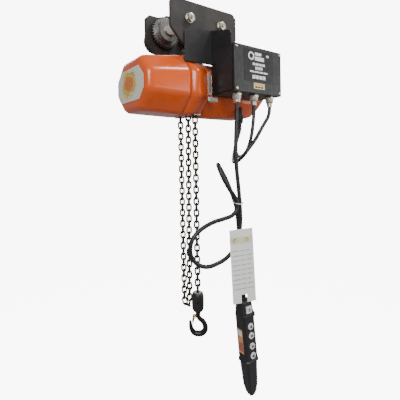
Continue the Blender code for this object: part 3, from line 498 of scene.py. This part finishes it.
def cut_away(obj, *blocks):
    """Cut rectangular openings through a piece, at once."""
    for low, high in blocks:
        bm = bmesh.new()
        add_block(bm, low, high)
        mesh = bpy.data.meshes.new("opening")
        bm.to_mesh(mesh)
        bm.free()
        cutter = bpy.data.objects.new("opening", mesh)
        bpy.context.scene.collection.objects.link(cutter)
        mod = obj.modifiers.new("opening", "BOOLEAN")
        mod.object, mod.operation, mod.solver = cutter, "DIFFERENCE", "EXACT"
        bpy.context.view_layer.update()
        graph = bpy.context.evaluated_depsgraph_get()
        obj.data = bpy.data.meshes.new_from_object(obj.evaluated_get(graph))
        obj.modifiers.clear()
        bpy.data.objects.remove(cutter, do_unlink=True)


def smooth_route(points, spacing):
    """Points about one spacing apart on a centripetal curve through the route's own points."""
    pts = [Vector(p) for p in points]
    pts = [2 * pts[0] - pts[1]] + pts + [2 * pts[-1] - pts[-2]]
    fine = []
    for p0, p1, p2, p3 in zip(pts, pts[1:], pts[2:], pts[3:]):
        t1 = (p1 - p0).length ** 0.5
        t2 = t1 + (p2 - p1).length ** 0.5
        t3 = t2 + (p3 - p2).length ** 0.5
        for i in range(12):
            t = t1 + (t2 - t1) * i / 12
            a1, a2 = p0.lerp(p1, t / t1), p1.lerp(p2, (t - t1) / (t2 - t1))
            a3 = p2.lerp(p3, (t - t2) / (t3 - t2))
            fine.append(a1.lerp(a2, t / t2).lerp(a2.lerp(a3, (t - t1) / (t3 - t1)), (t - t1) / (t2 - t1)))
    fine.append(pts[-2])
    total = sum((b - a).length for a, b in zip(fine, fine[1:]))
    step = total / max(2, round(total / spacing))
    kept, run = [fine[0]], 0.0
    for a, b in zip(fine, fine[1:]):
        run += (b - a).length
        if run >= step * len(kept) - 1e-6:
            kept.append(b)
    kept[-1] = fine[-1]
    return kept


def add_cord(name, route, diameter, body, node):
    """Round cord laid along its route as one open curve."""
    points = smooth_route(route, diameter * 0.6)
    curve = bpy.data.curves.new(name, "CURVE")
    curve.dimensions = "3D"
    curve.bevel_depth, curve.bevel_resolution = diameter / 2, 4
    curve.use_fill_caps = True
    spline = curve.splines.new("POLY")
    spline.points.add(len(points) - 1)
    for point, co in zip(spline.points, points):
        point.co = (*co, 1.0)
    spline.use_smooth = True
    curve.materials.append(FINISHES["black_rubber"])
    obj = bpy.data.objects.new(name, curve)
    bpy.context.scene.collection.objects.link(obj)
    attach(obj, body)
    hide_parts(node)
    return obj


def lean(down, across=0.0, depth=0.0):
    """Point a distance down the pendant's axis, across its width and through its depth."""
    c, s = math.cos(PENDANT_LEAN), math.sin(PENDANT_LEAN)
    return PENDANT_TOP + Vector((s * down + c * across, depth, -c * down + s * across))


# ---------------------------------------------------------------- pieces


def build_stage():
    stage = bpy.context.scene.hoist_stage
    bm = bmesh.new()
    edge = [bm.verts.new((-6, -6, stage.floor)), bm.verts.new((6, -6, stage.floor))]
    geom = edge + [bm.edges.new(edge)]
    bends = [(2.6, 0.0)] + [(2.6 + 1.2 * math.sin(a), 1.2 - 1.2 * math.cos(a))
                            for a in (math.pi / 2 * i / 10 for i in range(1, 11))] + [(3.8, 7.0)]
    for y, up in bends:
        made = bmesh.ops.extrude_edge_only(bm, edges=of_kind(geom, bmesh.types.BMEdge))["geom"]
        for vert in of_kind(made, bmesh.types.BMVert):
            vert.co.y, vert.co.z = y, stage.floor + up
        geom = made
    bmesh.ops.recalc_face_normals(bm, faces=bm.faces)
    mesh = bpy.data.meshes.new("studio_floor")
    bm.to_mesh(mesh)
    bm.free()
    mesh.transform(Matrix.Rotation(math.radians(-36), 4, "Z"))
    mesh.shade_smooth()
    mat = bpy.data.materials.new("studio_paper")
    mat.use_nodes = True
    shader = mat.node_tree.nodes["Principled BSDF"]
    shader.inputs["Base Color"].default_value = (*stage.backdrop, 1.0)
    shader.inputs["Roughness"].default_value = 0.85
    shader.inputs["Emission Color"].default_value = (1.0, 1.0, 1.0, 1.0)
    shader.inputs["Emission Strength"].default_value = stage.glow
    mesh.materials.append(mat)
    floor = bpy.data.objects.new("studio_floor", mesh)
    bpy.context.scene.collection.objects.link(floor)
    floor.visible_diffuse = floor.visible_glossy = False

    middle = Vector((0.03, -0.06, -0.5))
    for name, place, power, size in (("key", (-1.7, -2.4, 1.1), stage.key_power, 1.6),
                                     ("fill", (1.9, -2.0, -0.2), stage.key_power * 0.30, 1.8),
                                     ("streak", (0.58, -0.67, 1.07), stage.key_power * 0.12, 0.35),
                                     ("rim", (0.4, 1.9, 0.9), stage.key_power * 0.5, 1.2)):
        light = bpy.data.lights.new(name, "AREA")
        light.energy, light.size = power, size
        lamp = bpy.data.objects.new(name, light)
        lamp.matrix_world = Matrix.Translation(place) @ turn_to(Vector(place) - middle)
        bpy.context.scene.collection.objects.link(lamp)
    world = bpy.data.worlds.new("studio")
    world.use_nodes = True
    sky = world.node_tree.nodes["Background"]
    sky.inputs["Color"].default_value = (1.0, 1.0, 1.0, 1.0)
    rays = world.node_tree.nodes.new("ShaderNodeLightPath")
    seen = world.node_tree.nodes.new("ShaderNodeMapRange")
    seen.inputs["To Min"].default_value, seen.inputs["To Max"].default_value = stage.world, stage.glow
    world.node_tree.links.new(rays.outputs["Is Camera Ray"], seen.inputs["Value"])
    world.node_tree.links.new(seen.outputs["Result"], sky.inputs["Strength"])
    bpy.context.scene.world = world

    camera = bpy.data.cameras.new("studio_camera")
    camera.sensor_width, camera.lens, camera.shift_y = 36.0, CAMERA_LENS, CAMERA_SHIFT
    viewer = bpy.data.objects.new("studio_camera", camera)
    turn = Matrix.Rotation(-CAMERA_BEARING, 4, "Z") @ Matrix.Rotation(math.radians(90), 4, "X")
    viewer.matrix_world = (Matrix.Translation(CAMERA_PLACE) @ turn
                           @ Matrix.Rotation(-CAMERA_ROLL, 4, "Z"))
    bpy.context.scene.collection.objects.link(viewer)
    bpy.context.scene.camera = viewer


def finish_cad_nodes():
    """Every CAD node takes the finish of its material slot."""
    for row in frame["record"]["subparts"]:
        node = frame["nodes"][row["node"]]
        node.data.materials.clear()
        node.data.materials.append(FINISHES[row["material_slot"]])


def build_housings():
    rounding = sizes().housing_round
    frame_sections = ((-0.072, octagon(0.110, -0.256, -0.066, 0.058, 0.056)),
                      (-0.0143, octagon(0.110, -0.256, -0.064, 0.060, 0.057)))
    cover_sections = ((-0.223, octagon(0.101, -0.245, -0.098, 0.046, 0.048)),
                      (-0.207, octagon(0.107, -0.252, -0.088, 0.050, 0.054)),
                      (-0.196, octagon(0.10725, -0.25233, -0.0862, 0.05066, 0.05416)),
                      (-0.085, octagon(0.10973, -0.25564, -0.0680, 0.05728, 0.05582)),
                      (-0.0730, octagon(0.110, -0.256, -0.066, 0.058, 0.056)))
    motor_sections = ((0.0006, octagon(0.084, -0.256, -0.080, 0.044, 0.048)),
                      (0.200, octagon(0.084, -0.2575, -0.080, 0.044, 0.048)),
                      (0.244, octagon(0.081, -0.248, -0.085, 0.042, 0.046)),
                      (0.290, octagon(0.067, -0.214, -0.113, 0.034, 0.036)))
    bm = bmesh.new()
    add_housing(bm, cover_sections, rounding, closed_start=True)
    cover = stand_in("gear_cover", bm, "orange_paint", "frame")
    hollow(cover, 0.005)
    bm = bmesh.new()
    add_housing(bm, frame_sections, rounding)
    ring = stand_in("centre_frame", bm, "orange_paint", "frame")
    hollow(ring, 0.006)
    cut_away(ring, ((-0.030, -0.057, -0.29), (-0.002, 0.063, -0.22)))
    bm = bmesh.new()
    add_housing(bm, motor_sections, rounding, closed_end=True)
    motor = stand_in("motor_cover", bm, "orange_paint", "frame")
    hollow(motor, 0.005)

    bm = bmesh.new()
    outline = frame_sections[1][1]
    add_housing(bm, ((-0.0138, outline), (-0.0002, outline)), rounding, closed_end=True)
    plate = stand_in("adapter_plate", bm, "orange_paint", "frame")
    hollow(plate, 0.004)
    cut_away(plate, ((-0.030, -0.057, -0.29), (-0.002, 0.063, -0.22)))
    # Light aluminium strip on the near flat face only, at the parting line: partly the adapter's bare metal
    # edge, partly a painted highlight on that edge.
    bm = bmesh.new()
    add_block(bm, (-0.0132, -0.1106, -0.197), (-0.0010, -0.1095, -0.126), 0.0004)
    publish("adapter_metal_and_highlight_strip", bm, "aluminium", "frame")


def build_badges():
    rounded_copy("end_badge", "badge_print", "frame", 0.0004)
    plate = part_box("rating_plate")
    rounded_copy("rating_plate", "aluminium", "frame", 0.0006)
    bm = bmesh.new()
    low, high = Vector(plate[0]), Vector(plate[1])
    add_block(bm, (low.x + 0.003, low.y - 0.0003, low.z + 0.003),
              (high.x - 0.003, low.y + 0.0003, high.z - 0.003))
    publish("rating_plate_print", bm, "print_grey", "frame")


def add_patch(bm, left, bottom, right, top, front=0.0010, back=0.0004):
    """Thin block of print on the box cover, between two heights off the cover's face."""
    add_block(bm, (left, COVER_FACE - front, bottom), (right, COVER_FACE - back, top))


def build_control_box():
    rounded_copy("control_box", "black_paint", "frame", 0.0012)
    rounded_copy("box_cover", "cover_grey", "frame", 0.0015)
    rounded_copy("box_bracket", "black_paint", "frame", 0.0008)
    low, high = BOX_LOW, BOX_HIGH

    bm = bmesh.new()
    for x in (low.x + 0.009, high.x - 0.009):
        for z in (low.z + 0.009, high.z - 0.009):
            add_socket_screw(bm, (x, COVER_FACE, z), (0, -1, 0), 0.0042, 0.0022)
    publish("box_cover_screws", bm, "zinc", "frame")

    left, right, top, bottom = low.x + 0.038, high.x - 0.040, high.z - 0.010, high.z - 0.108
    bm = bmesh.new()
    add_patch(bm, left, bottom, right, top, 0.0006, -0.0002)
    publish("box_label", bm, "label_black", "frame")

    middle = (left + right) / 2
    bm = bmesh.new()
    add_turned(bm, ((-0.0003, 0.0080), (-0.0003, 0.0128), (0.0003, 0.0128), (0.0003, 0.0080)),
               facing_front((middle - 0.034, COVER_FACE - 0.0007, top - 0.020)), 28)
    add_patch(bm, middle - 0.018, top - 0.032, middle + 0.022, top - 0.020)
    add_patch(bm, middle - 0.018, top - 0.016, middle + 0.010, top - 0.007)
    add_patch(bm, middle + 0.033, top - 0.016, middle + 0.044, top - 0.009)
    rows = ((0.040, 0.007, 0.028), (0.051, 0.009, 0.017), (0.065, 0.005, 0.040), (0.078, 0.011, 0.030))
    for down, tall, half in rows:
        for step in range(4):
            x = middle - half + step * half / 2
            wide = half / 2 - 0.0025
            add_patch(bm, x, top - down - tall, x + wide, top - down)
    publish("box_label_marks", bm, "label_white", "frame")

    bm = bmesh.new()
    add_patch(bm, middle - 0.024, bottom - 0.022, middle + 0.024, bottom - 0.004, 0.0008, 0.0001)
    publish("box_sticker", bm, "label_yellow", "frame")
    bm = bmesh.new()
    add_patch(bm, middle - 0.022, bottom - 0.011, middle + 0.022, bottom - 0.006, 0.0011, 0.0003)
    publish("box_sticker_band", bm, "label_orange", "frame")
    bm = bmesh.new()
    for x in (-0.019, -0.006, 0.007):
        add_patch(bm, middle + x, bottom - 0.019, middle + x + 0.010, bottom - 0.014, 0.0011, 0.0003)
    publish("box_sticker_marks", bm, "label_black", "frame")


def build_cord_grips():
    """Cord grips under the control box: a hexagon body, a ribbed collar and a domed nut."""
    z = BOX_LOW.z
    for name, x in (("grip_pendant", 0.0475), ("grip_power", 0.1205), ("grip_control", 0.1935)):
        bm = bmesh.new()
        add_bar(bm, (x, GRIP_Y, z - 0.0003), (x, GRIP_Y, z - 0.0080), 0.0152, 6, bevel=0.0006)
        neck, mouth, foot = (0.0112, 0.0108, -0.2245) if name == "grip_pendant" else (0.0090, 0.0088, -0.2290)
        add_turned(bm, ((z - 0.0075, 0.0070), (z - 0.0075, 0.0128), (z - 0.0185, 0.0125),
                        (z - 0.0205, 0.0112), (z - 0.0225, neck), (foot, mouth), (foot, 0.0070)),
                   Matrix.Translation((x, GRIP_Y, 0)), 36)
        for i in range(12):
            a = math.tau * i / 12
            at = Vector((x + 0.0125 * math.cos(a), GRIP_Y + 0.0125 * math.sin(a), z - 0.0095))
            add_bar(bm, at, at - Vector((0, 0, 0.008)), 0.0009, 6)
        stand_in(name, bm, "zinc", "frame")


def build_trolley():
    for side in ("front", "rear"):
        rounded_copy(f"side_plate_{side}", "grey_paint", "frame", 0.0012)
        for end, x in (("left", -0.062), ("right", 0.062)):
            out = -1 if side == "front" else 1
            bm = bmesh.new()
            axle = [(0.026, 0), (0.026, 0.017), (0.027, 0.018), (0.0315, 0.018), (0.0315, 0.0136),
                    (0.0757, 0.0136), (0.0757, 0.0078), (0.0863, 0.0078), (0.0863, 0.0155),
                    (0.0885, 0.0155), (0.0885, 0.0)]
            add_turned(bm, axle, Matrix.Translation((x, 0, AXLE_Z)) @ turn_to((0, out, 0)), 32)
            add_hex_nut(bm, (x, out * 0.0885, AXLE_Z), (0, out, 0), 0.024, 0.0105)
            stand_in(f"axle_{side}_{end}", bm, "zinc", "frame")
    rounded_copy("trolley_gear_case", "black_paint", "frame", 0.003)
    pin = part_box("suspension_pin")
    z = (pin[0][2] + pin[1][2]) / 2
    bm = bmesh.new()
    add_bar(bm, (0, -0.0858, z), (0, 0.0863, z), 0.0098, 32)
    add_bar(bm, (0, 0.0863, z), (0, 0.0883, z), 0.0158, 32, bevel=0.0004)
    add_hex_nut(bm, (0, 0.0883, z), (0, 1, 0), 0.0232, 0.0070)
    stand_in("suspension_pin", bm, "zinc", "frame")

    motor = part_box("trolley_motor")
    z = (motor[0][2] + motor[1][2]) / 2
    place = Matrix.Translation((0, 0, z)) @ turn_to((0, 1, 0))
    profile = [(0.1283, 0), (0.1283, 0.044), (0.1295, 0.0458), (0.134, 0.0458), (0.136, 0.039)]
    profile += [(0.243, 0.039), (0.244, 0.0448), (0.262, 0.0448), (0.268, 0.040), (0.270, 0.034), (0.270, 0)]
    bm = bmesh.new()
    add_turned(bm, profile, place, 48)
    for i in range(28):
        turn = Matrix.Translation((0, 0, z)) @ Matrix.Rotation(math.tau * i / 28, 4, "Y")
        add_block(bm, (-0.0009, 0.136, 0.037), (0.0009, 0.243, 0.0446), place=turn)
    stand_in("trolley_motor", bm, "black_paint", "frame")


def build_cords():
    size = sizes()
    add_cord("pendant_cord_finished", PENDANT_ROUTE, size.pendant_cord, "pendant", "pendant_cord")
    add_cord("power_cord_finished", POWER_ROUTE, size.body_cord, "frame", "power_cord")
    add_cord("control_cord_finished", CONTROL_ROUTE, size.body_cord, "frame", "control_cord")

    bm = bmesh.new()
    place = (Matrix.Translation((0.0359, -0.1858, -0.5280)) @ Matrix.Rotation(math.radians(-36), 4, "Z") @
             Matrix.Rotation(math.radians(6), 4, "Y") @ Matrix.Diagonal((0.88, 1.86, 1.0, 1.0)))
    add_turned(bm, ((-0.0014, 0.0172), (-0.0014, 0.0180), (0.0014, 0.0180), (0.0014, 0.0172)), place, 36)
    publish("cord_tie", bm, "white_plastic", "pendant")


def build_tag():
    """Card that hangs in front of the cord from its two eyelets, notched round the cord relief."""
    half, low = TAG_WIDTH / 2, -TAG_HEIGHT
    notch, notch_top = TAG_NOTCH_HALF, TAG_NOTCH_HEIGHT - TAG_HEIGHT
    place = (Matrix.Translation(TAG_TOP) @ Matrix.Rotation(TAG_TURN, 4, "Z")
             @ Matrix.Rotation(TAG_TILT, 4, "Y"))
    bm = bmesh.new()
    outline = [(-half, low), (-notch, low), (-notch, notch_top), (notch, notch_top), (notch, low),
               (half, low), (half, 0), (-half, 0)]
    face = bm.faces.new([bm.verts.new((x, -0.0005, z)) for x, z in outline])
    made = bmesh.ops.extrude_face_region(bm, geom=[face])["geom"]
    bmesh.ops.translate(bm, vec=(0, 0.0010, 0), verts=of_kind(made, bmesh.types.BMVert))
    bm.transform(place)
    stand_in("warning_tag", bm, "tag_stock", "pendant", bevel=0.0004)

    bm = bmesh.new()
    add_block(bm, (-half + 0.002, -0.0009, -0.042), (half - 0.002, -0.0003, -0.022), place=place)
    publish("tag_band", bm, "label_pale", "pendant")
    bm = bmesh.new()
    for row in range(9):
        z = -0.062 - row * 0.0140
        for step, wide in ((-0.031, 0.022), (-0.006, 0.016), (0.014, 0.017 if row % 3 else 0.010)):
            add_block(bm, (step, -0.0008, z - 0.0030), (step + wide, -0.0003, z), place=place)
    publish("tag_print", bm, "print_faint", "pendant")
    bm = bmesh.new()
    rim = ((-0.0012, 0.0032), (-0.0012, 0.0060), (0.0008, 0.0056), (0.0012, 0.0044), (0.0006, 0.0032))
    for x in (-0.021, 0.017):
        eye = place @ facing_front((x, -0.0012, -0.032))
        add_turned(bm, rim, eye, 24)
    publish("tag_eyelets", bm, "yellow_plating", "pendant")


def link_mesh():
    """One link: two half turns joined by two straights."""
    size = sizes()
    reach = size.chain_width / 2 - size.chain_wire / 2
    half = (size.chain_pitch + size.chain_wire) / 2 - reach
    bm = bmesh.new()
    section = bmesh.ops.create_circle(bm, segments=8, radius=size.chain_wire / 2,
                                      matrix=Matrix.Translation((reach, 0, half)))["verts"]
    ring = section + list(edges_at(section))
    for turn, drop in ((half, -2 * half), (-half, 2 * half)):
        ring = bmesh.ops.spin(bm, geom=ring, cent=(0, 0, turn), axis=(0, 1, 0), angle=-math.pi,
                              steps=5)["geom_last"]
        made = bmesh.ops.extrude_edge_only(bm, edges=of_kind(ring, bmesh.types.BMEdge))["geom"]
        verts = of_kind(made, bmesh.types.BMVert)
        bmesh.ops.translate(bm, vec=(0, 0, drop), verts=verts)
        ring = verts + [e for e in edges_at(verts) if all(v in verts for v in e.verts)]
    bmesh.ops.remove_doubles(bm, verts=bm.verts, dist=1e-5)
    bmesh.ops.recalc_face_normals(bm, faces=bm.faces)
    mesh = bpy.data.meshes.new("link")
    bm.to_mesh(mesh)
    bm.free()
    return mesh


def lay_chain(bm, link, points):
    """Links along a line of points, each turned a quarter from the one before."""
    pitch = sizes().chain_pitch
    run, distances = 0.0, [0.0]
    for a, b in zip(points, points[1:]):
        run += (b - a).length
        distances.append(run)

    def at(distance):
        distance = min(max(distance, 0.0), run)
        i = next(k for k in range(1, len(points)) if distances[k] >= distance - 1e-9)
        share = (distance - distances[i - 1]) / (distances[i] - distances[i - 1])
        return points[i - 1].lerp(points[i], share)

    count = int(run / pitch)
    for i in range(count):
        s = (i + 0.5) * pitch
        along = (at(s + pitch * 0.5) - at(s - pitch * 0.5)).normalized()
        side = Vector((1, 0, 0))
        across = along.cross(side).normalized()
        basis = Matrix((side, across, along)).transposed().to_4x4()
        roll = Matrix.Rotation(math.radians(90 * (i % 2) + 45), 4, "Z")
        before = set(bm.verts)
        bm.from_mesh(link)
        bmesh.ops.transform(bm, matrix=Matrix.Translation(at(s)) @ basis @ roll,
                            verts=[v for v in bm.verts if v not in before])


def build_chains():
    link = link_mesh()
    bm = bmesh.new()
    lay_chain(bm, link, [Vector((CHAIN_X, LOAD_Y, BLOCK_HIGH + 0.0025)),
                         Vector((CHAIN_X, LOAD_Y, LOAD_CHAIN_TOP))])
    load = publish("load_chain_links", bm, "chain_steel", None, ("load_chain",), 0, False)
    load.data.shade_smooth()
    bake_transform(load)

    bm = bmesh.new()
    bend = []
    for i in range(25):
        a = math.pi * i / 24
        bend.append(Vector((CHAIN_X, SLACK_MIDDLE - SLACK_HALF * math.cos(a),
                            SLACK_LOW + LINK_REACH + SLACK_HALF - SLACK_HALF * math.sin(a))))
    lay_chain(bm, link, [Vector((CHAIN_X, DEAD_Y, SLACK_TOP))] + bend
              + [Vector((CHAIN_X, SLACK_Y, SLACK_TOP))])
    slack = publish("slack_chain_links", bm, "chain_steel", None, ("slack_chain",), 0, False)
    slack.data.shade_smooth()
    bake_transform(slack)
    bpy.data.meshes.remove(link)


def build_hook():
    low, high = BLOCK_LOW, BLOCK_HIGH
    place = Matrix.Translation((CHAIN_X, LOAD_Y, 0))
    bm = bmesh.new()
    outside = ((low, 0.0093), (low, 0.0120), (low + 0.002, 0.0150), (low + 0.008, 0.0185),
               (low + 0.018, 0.0198), (high - 0.016, 0.0200), (high - 0.008, 0.0192),
               (high - 0.0015, 0.0170), (high, 0.0158), (high, 0.0145), (high - 0.0040, 0.0145),
               (high - 0.0040, 0.0))
    pocket = ((low + 0.034, 0.0), (low + 0.034, 0.0135), (low + 0.010, 0.0135),
              (low + 0.010, 0.0093), (low, 0.0093))
    add_turned(bm, outside + pocket, place, 48)
    stand_in("hook_block", bm, "black_rubber", "hook_carrier")

    bm = bmesh.new()
    add_turned(bm, ((high - 0.0037, 0.0), (high - 0.0037, 0.0142), (high - 0.0002, 0.0142),
                    (high + 0.0007, 0.0134), (high + 0.0007, 0.0)), place, 40)
    stand_in("chain_collar", bm, "zinc", "hook_carrier")

    bm = bmesh.new()
    out = Vector((0.588, 0.809, 0))
    for side in (-1, 1):
        at = Vector((CHAIN_X, LOAD_Y, (low + high) / 2 + 0.004)) + out * (0.0192 * side)
        add_socket_screw(bm, at, out * side, 0.0042, 0.0016)
    publish("hook_block_screws", bm, "dark_steel", "hook_carrier")
    build_hook_forging()


def hook_point(across, z):
    return Vector((CHAIN_X + across * math.cos(HOOK_TURN), LOAD_Y + across * math.sin(HOOK_TURN), z))


def build_hook_forging():
    """Forged hook, thicker in its bowl, drawn out to a blunt tip, with its latch and pin."""
    centre = [hook_point(a, z) for a, z, _ in HOOK_SPINE]
    points = smooth_route(centre, 0.0035)
    bm = bmesh.new()
    ring = None
    depth = Vector((-math.sin(HOOK_TURN), math.cos(HOOK_TURN), 0))
    for i, point in enumerate(points):
        along = (points[min(i + 1, len(points) - 1)] - points[max(i - 1, 0)]).normalized()
        a, b = sorted(sorted(range(len(centre)), key=lambda k: (centre[k] - point).length)[:2])
        span = centre[b] - centre[a]
        share = min(1.0, max(0.0, (point - centre[a]).dot(span) / span.length_squared))
        radius = HOOK_SPINE[a][2] * (1 - share) + HOOK_SPINE[b][2] * share
        side = along.cross(depth).normalized()
        basis = Matrix((side, depth, along)).transposed().to_4x4()
        verts = bmesh.ops.create_circle(bm, segments=20, radius=radius,
                                        matrix=Matrix.Translation(point) @ basis)["verts"]
        edges = list(edges_at(verts))
        if ring is None:
            bmesh.ops.contextual_create(bm, geom=edges)
        else:
            bmesh.ops.bridge_loops(bm, edges=ring + edges)
        ring = edges
    bmesh.ops.contextual_create(bm, geom=ring)
    stand_in("hook", bm, "dark_steel", "swivel_hook", 50)

    bm = bmesh.new()
    for out in (-1, 1):
        at = hook_point(-0.0135, -0.912) + depth * (0.0068 * out)
        add_bar(bm, at - depth * 0.0008, at + depth * 0.0008, 0.0045, 20)
        ear = hook_point(-0.0065, -0.9095) + depth * (0.0062 * out)
        add_bar(bm, ear, at, 0.0030, 12)
    at = hook_point(-0.0140, -0.912)
    add_bar(bm, at - depth * 0.0092, at + depth * 0.0092, 0.0018, 16, bevel=0.0003)
    publish("latch_pin", bm, "yellow_plating", "swivel_hook")
    rounded_copy("hook_latch", "yellow_plating", "latch", 0.0008)


def build_pendant():
    rounded_copy("pendant_front", "black_plastic", "pendant", 0.0016)
    rounded_copy("pendant_back", "black_plastic", "pendant", 0.0022)
    turn = Matrix.Rotation(-PENDANT_LEAN, 4, "Y")

    bm = bmesh.new()
    profile = [(0.0, 0.0), (0.0, 0.0100), (0.003, 0.0098)]
    for i in range(6):
        base, rib, groove = 0.0035 + i * 0.0026, 0.0098 - i * 0.0002, 0.0086 - i * 0.0002
        profile += [(base, rib), (base + 0.0012, rib), (base + 0.0013, groove), (base + 0.0025, groove)]
    profile += [(0.0196, 0.0078), (0.0198, 0.0)]
    add_turned(bm, profile, Matrix.Translation(lean(-0.0003)) @ turn, 36)
    stand_in("cord_relief", bm, "black_rubber", "pendant")

    for name, key, direction in (("up", "up_key", 0), ("down", "down_key", 180), ("left", "left_key", 90),
                                 ("right", "right_key", -90)):
        at = lean(BUTTONS_DOWN[name])
        bm = bmesh.new()
        place = facing_front((at.x, -0.175, at.z))
        add_turned(bm, ((0.0155, 0), (0.0155, 0.0098), (0.0252, 0.0098), (0.0260, 0.0094), (0.0264, 0.0082),
                        (0.0261, 0.0055), (0.0260, 0.0)), place, 36)
        stand_in(f"button_{name}", bm, "white_plastic", key)
        bm = bmesh.new()
        facing = Matrix.Translation((at.x, -0.2016, at.z)) @ Matrix.Rotation(math.radians(direction), 4, "Y")
        bmesh.ops.create_cone(bm, cap_ends=True, segments=3, radius1=0.0060, radius2=0.0060, depth=0.0007,
                              matrix=facing @ Matrix.Rotation(math.radians(90), 4, "X"))
        publish(f"arrow_{name}", bm, "label_black", key, smooth=0)

    at = lean(POWER_KEY_DOWN)
    rounded_copy("button_power", "white_plastic", "power_key", 0.0012)
    bm = bmesh.new()
    add_turned(bm, ((-0.0004, 0.0026), (-0.0004, 0.0042), (0.0004, 0.0042), (0.0004, 0.0026)),
               facing_front((at.x, -0.2006, at.z)), 24)
    add_block(bm, (at.x - 0.0007, -0.2010, at.z - 0.001), (at.x + 0.0007, -0.2002, at.z + 0.0058))
    publish("power_mark", bm, "label_black", "power_key")

    bm = bmesh.new()
    for down in BUTTONS_DOWN.values():
        at = lean(down)
        add_turned(bm, ((0.0228, 0.0110), (0.0228, 0.0130), (0.0240, 0.0126), (0.0240, 0.0113)),
                   facing_front((at.x, -0.175, at.z)), 36)
    publish("button_collars", bm, "black_rubber", "pendant")

    side = Matrix.Translation(lean(0)) @ turn
    for name, finish_name, low, high, out in (("side_sticker", "label_orange", 0.087, 0.163, 0.0),
                                              ("side_sticker_white", "label_white", 0.092, 0.108, 0.0003),
                                              ("side_sticker_red", "label_red", 0.128, 0.157, 0.0003)):
        bm = bmesh.new()
        inset = 0.0 if out == 0 else 0.002
        add_block(bm, (-0.0242 - out, -0.0100 + inset, -high), (-0.0232, 0.0100 - inset, -low), place=side)
        publish(name, bm, finish_name, "pendant")


# ---------------------------------------------------------------- operators


class BuildStep:
    """What every step shares: it runs its functions in order."""

    def execute(self, context):
        for build in self.steps:
            build()
        return {"FINISHED"}


class HOIST_OT_stage(BuildStep, bpy.types.Operator):
    """Set up the floor, the soft lights and the camera"""

    bl_idname = "hoist.stage"
    bl_label = "Studio"
    steps = (build_stage,)


class HOIST_OT_finishes(BuildStep, bpy.types.Operator):
    """Make the paints, platings and plastics, and give them to the frame's own parts"""

    bl_idname = "hoist.finishes"
    bl_label = "Finishes"
    steps = (make_finishes, finish_cad_nodes)


class HOIST_OT_housings(BuildStep, bpy.types.Operator):
    """Build the gear cover, centre frame and motor cover with their rounded corners"""

    bl_idname = "hoist.housings"
    bl_label = "Housings"
    steps = (build_housings, build_badges)


class HOIST_OT_control_box(BuildStep, bpy.types.Operator):
    """Build the control box, its bracket, label and cord grips"""

    bl_idname = "hoist.control_box"
    bl_label = "Control Box"
    steps = (build_control_box, build_cord_grips)


class HOIST_OT_trolley(BuildStep, bpy.types.Operator):
    """Build the trolley's plates, axles, pin and motor"""

    bl_idname = "hoist.trolley"
    bl_label = "Trolley"
    steps = (build_trolley,)


class HOIST_OT_cords(BuildStep, bpy.types.Operator):
    """Lay the pendant cord and the two cords to the hoist, with the cord tie"""

    bl_idname = "hoist.cords"
    bl_label = "Cords"
    steps = (build_cords,)


class HOIST_OT_tag(BuildStep, bpy.types.Operator):
    """Hang the printed card on the pendant cord"""

    bl_idname = "hoist.tag"
    bl_label = "Tag"
    steps = (build_tag,)


class HOIST_OT_chains(BuildStep, bpy.types.Operator):
    """Lay the links of the load chain and of the slack chain"""

    bl_idname = "hoist.chains"
    bl_label = "Chains"
    steps = (build_chains,)


class HOIST_OT_hook(BuildStep, bpy.types.Operator):
    """Build the hook block, the forged hook and its latch"""

    bl_idname = "hoist.hook"
    bl_label = "Hook"
    steps = (build_hook,)


class HOIST_OT_pendant(BuildStep, bpy.types.Operator):
    """Build the pendant's shells, keys, marks and cord relief"""

    bl_idname = "hoist.pendant"
    bl_label = "Pendant"
    steps = (build_pendant,)


class HOIST_PT_parts(bpy.types.Panel):
    """Buttons for the hoist's pieces, in the order in which they are built"""

    bl_idname = "HOIST_PT_parts"
    bl_label = "Chain Hoist"
    bl_space_type = "VIEW_3D"
    bl_region_type = "UI"
    bl_category = "Hoist"

    def draw(self, context):
        column = self.layout.column(align=True)
        for operator in OPERATORS:
            column.operator(operator.bl_idname)
        for settings in (context.scene.hoist_finish, context.scene.hoist_sizes, context.scene.hoist_stage):
            box = self.layout.box()
            for name in settings.__annotations__:
                box.prop(settings, name)


OPERATORS = (
    HOIST_OT_finishes, HOIST_OT_housings, HOIST_OT_control_box, HOIST_OT_trolley, HOIST_OT_cords,
    HOIST_OT_tag, HOIST_OT_chains, HOIST_OT_hook, HOIST_OT_pendant, HOIST_OT_stage,
)
CLASSES = (HoistFinishSettings, HoistSizeSettings, HoistStageSettings) + OPERATORS + (HOIST_PT_parts,)


def register():
    for cls in CLASSES:
        bpy.utils.register_class(cls)
    bpy.types.Scene.hoist_finish = bpy.props.PointerProperty(type=HoistFinishSettings)
    bpy.types.Scene.hoist_sizes = bpy.props.PointerProperty(type=HoistSizeSettings)
    bpy.types.Scene.hoist_stage = bpy.props.PointerProperty(type=HoistStageSettings)


def unregister():
    del bpy.types.Scene.hoist_stage
    del bpy.types.Scene.hoist_sizes
    del bpy.types.Scene.hoist_finish
    for cls in reversed(CLASSES):
        bpy.utils.unregister_class(cls)


def main():
    register()
    bpy.ops.hoist.finishes()
    bpy.ops.hoist.housings()
    bpy.ops.hoist.control_box()
    bpy.ops.hoist.trolley()
    bpy.ops.hoist.cords()
    bpy.ops.hoist.tag()
    bpy.ops.hoist.chains()
    bpy.ops.hoist.hook()
    bpy.ops.hoist.pendant()
    bpy.ops.hoist.stage()


if __name__ == "__main__":
    main()
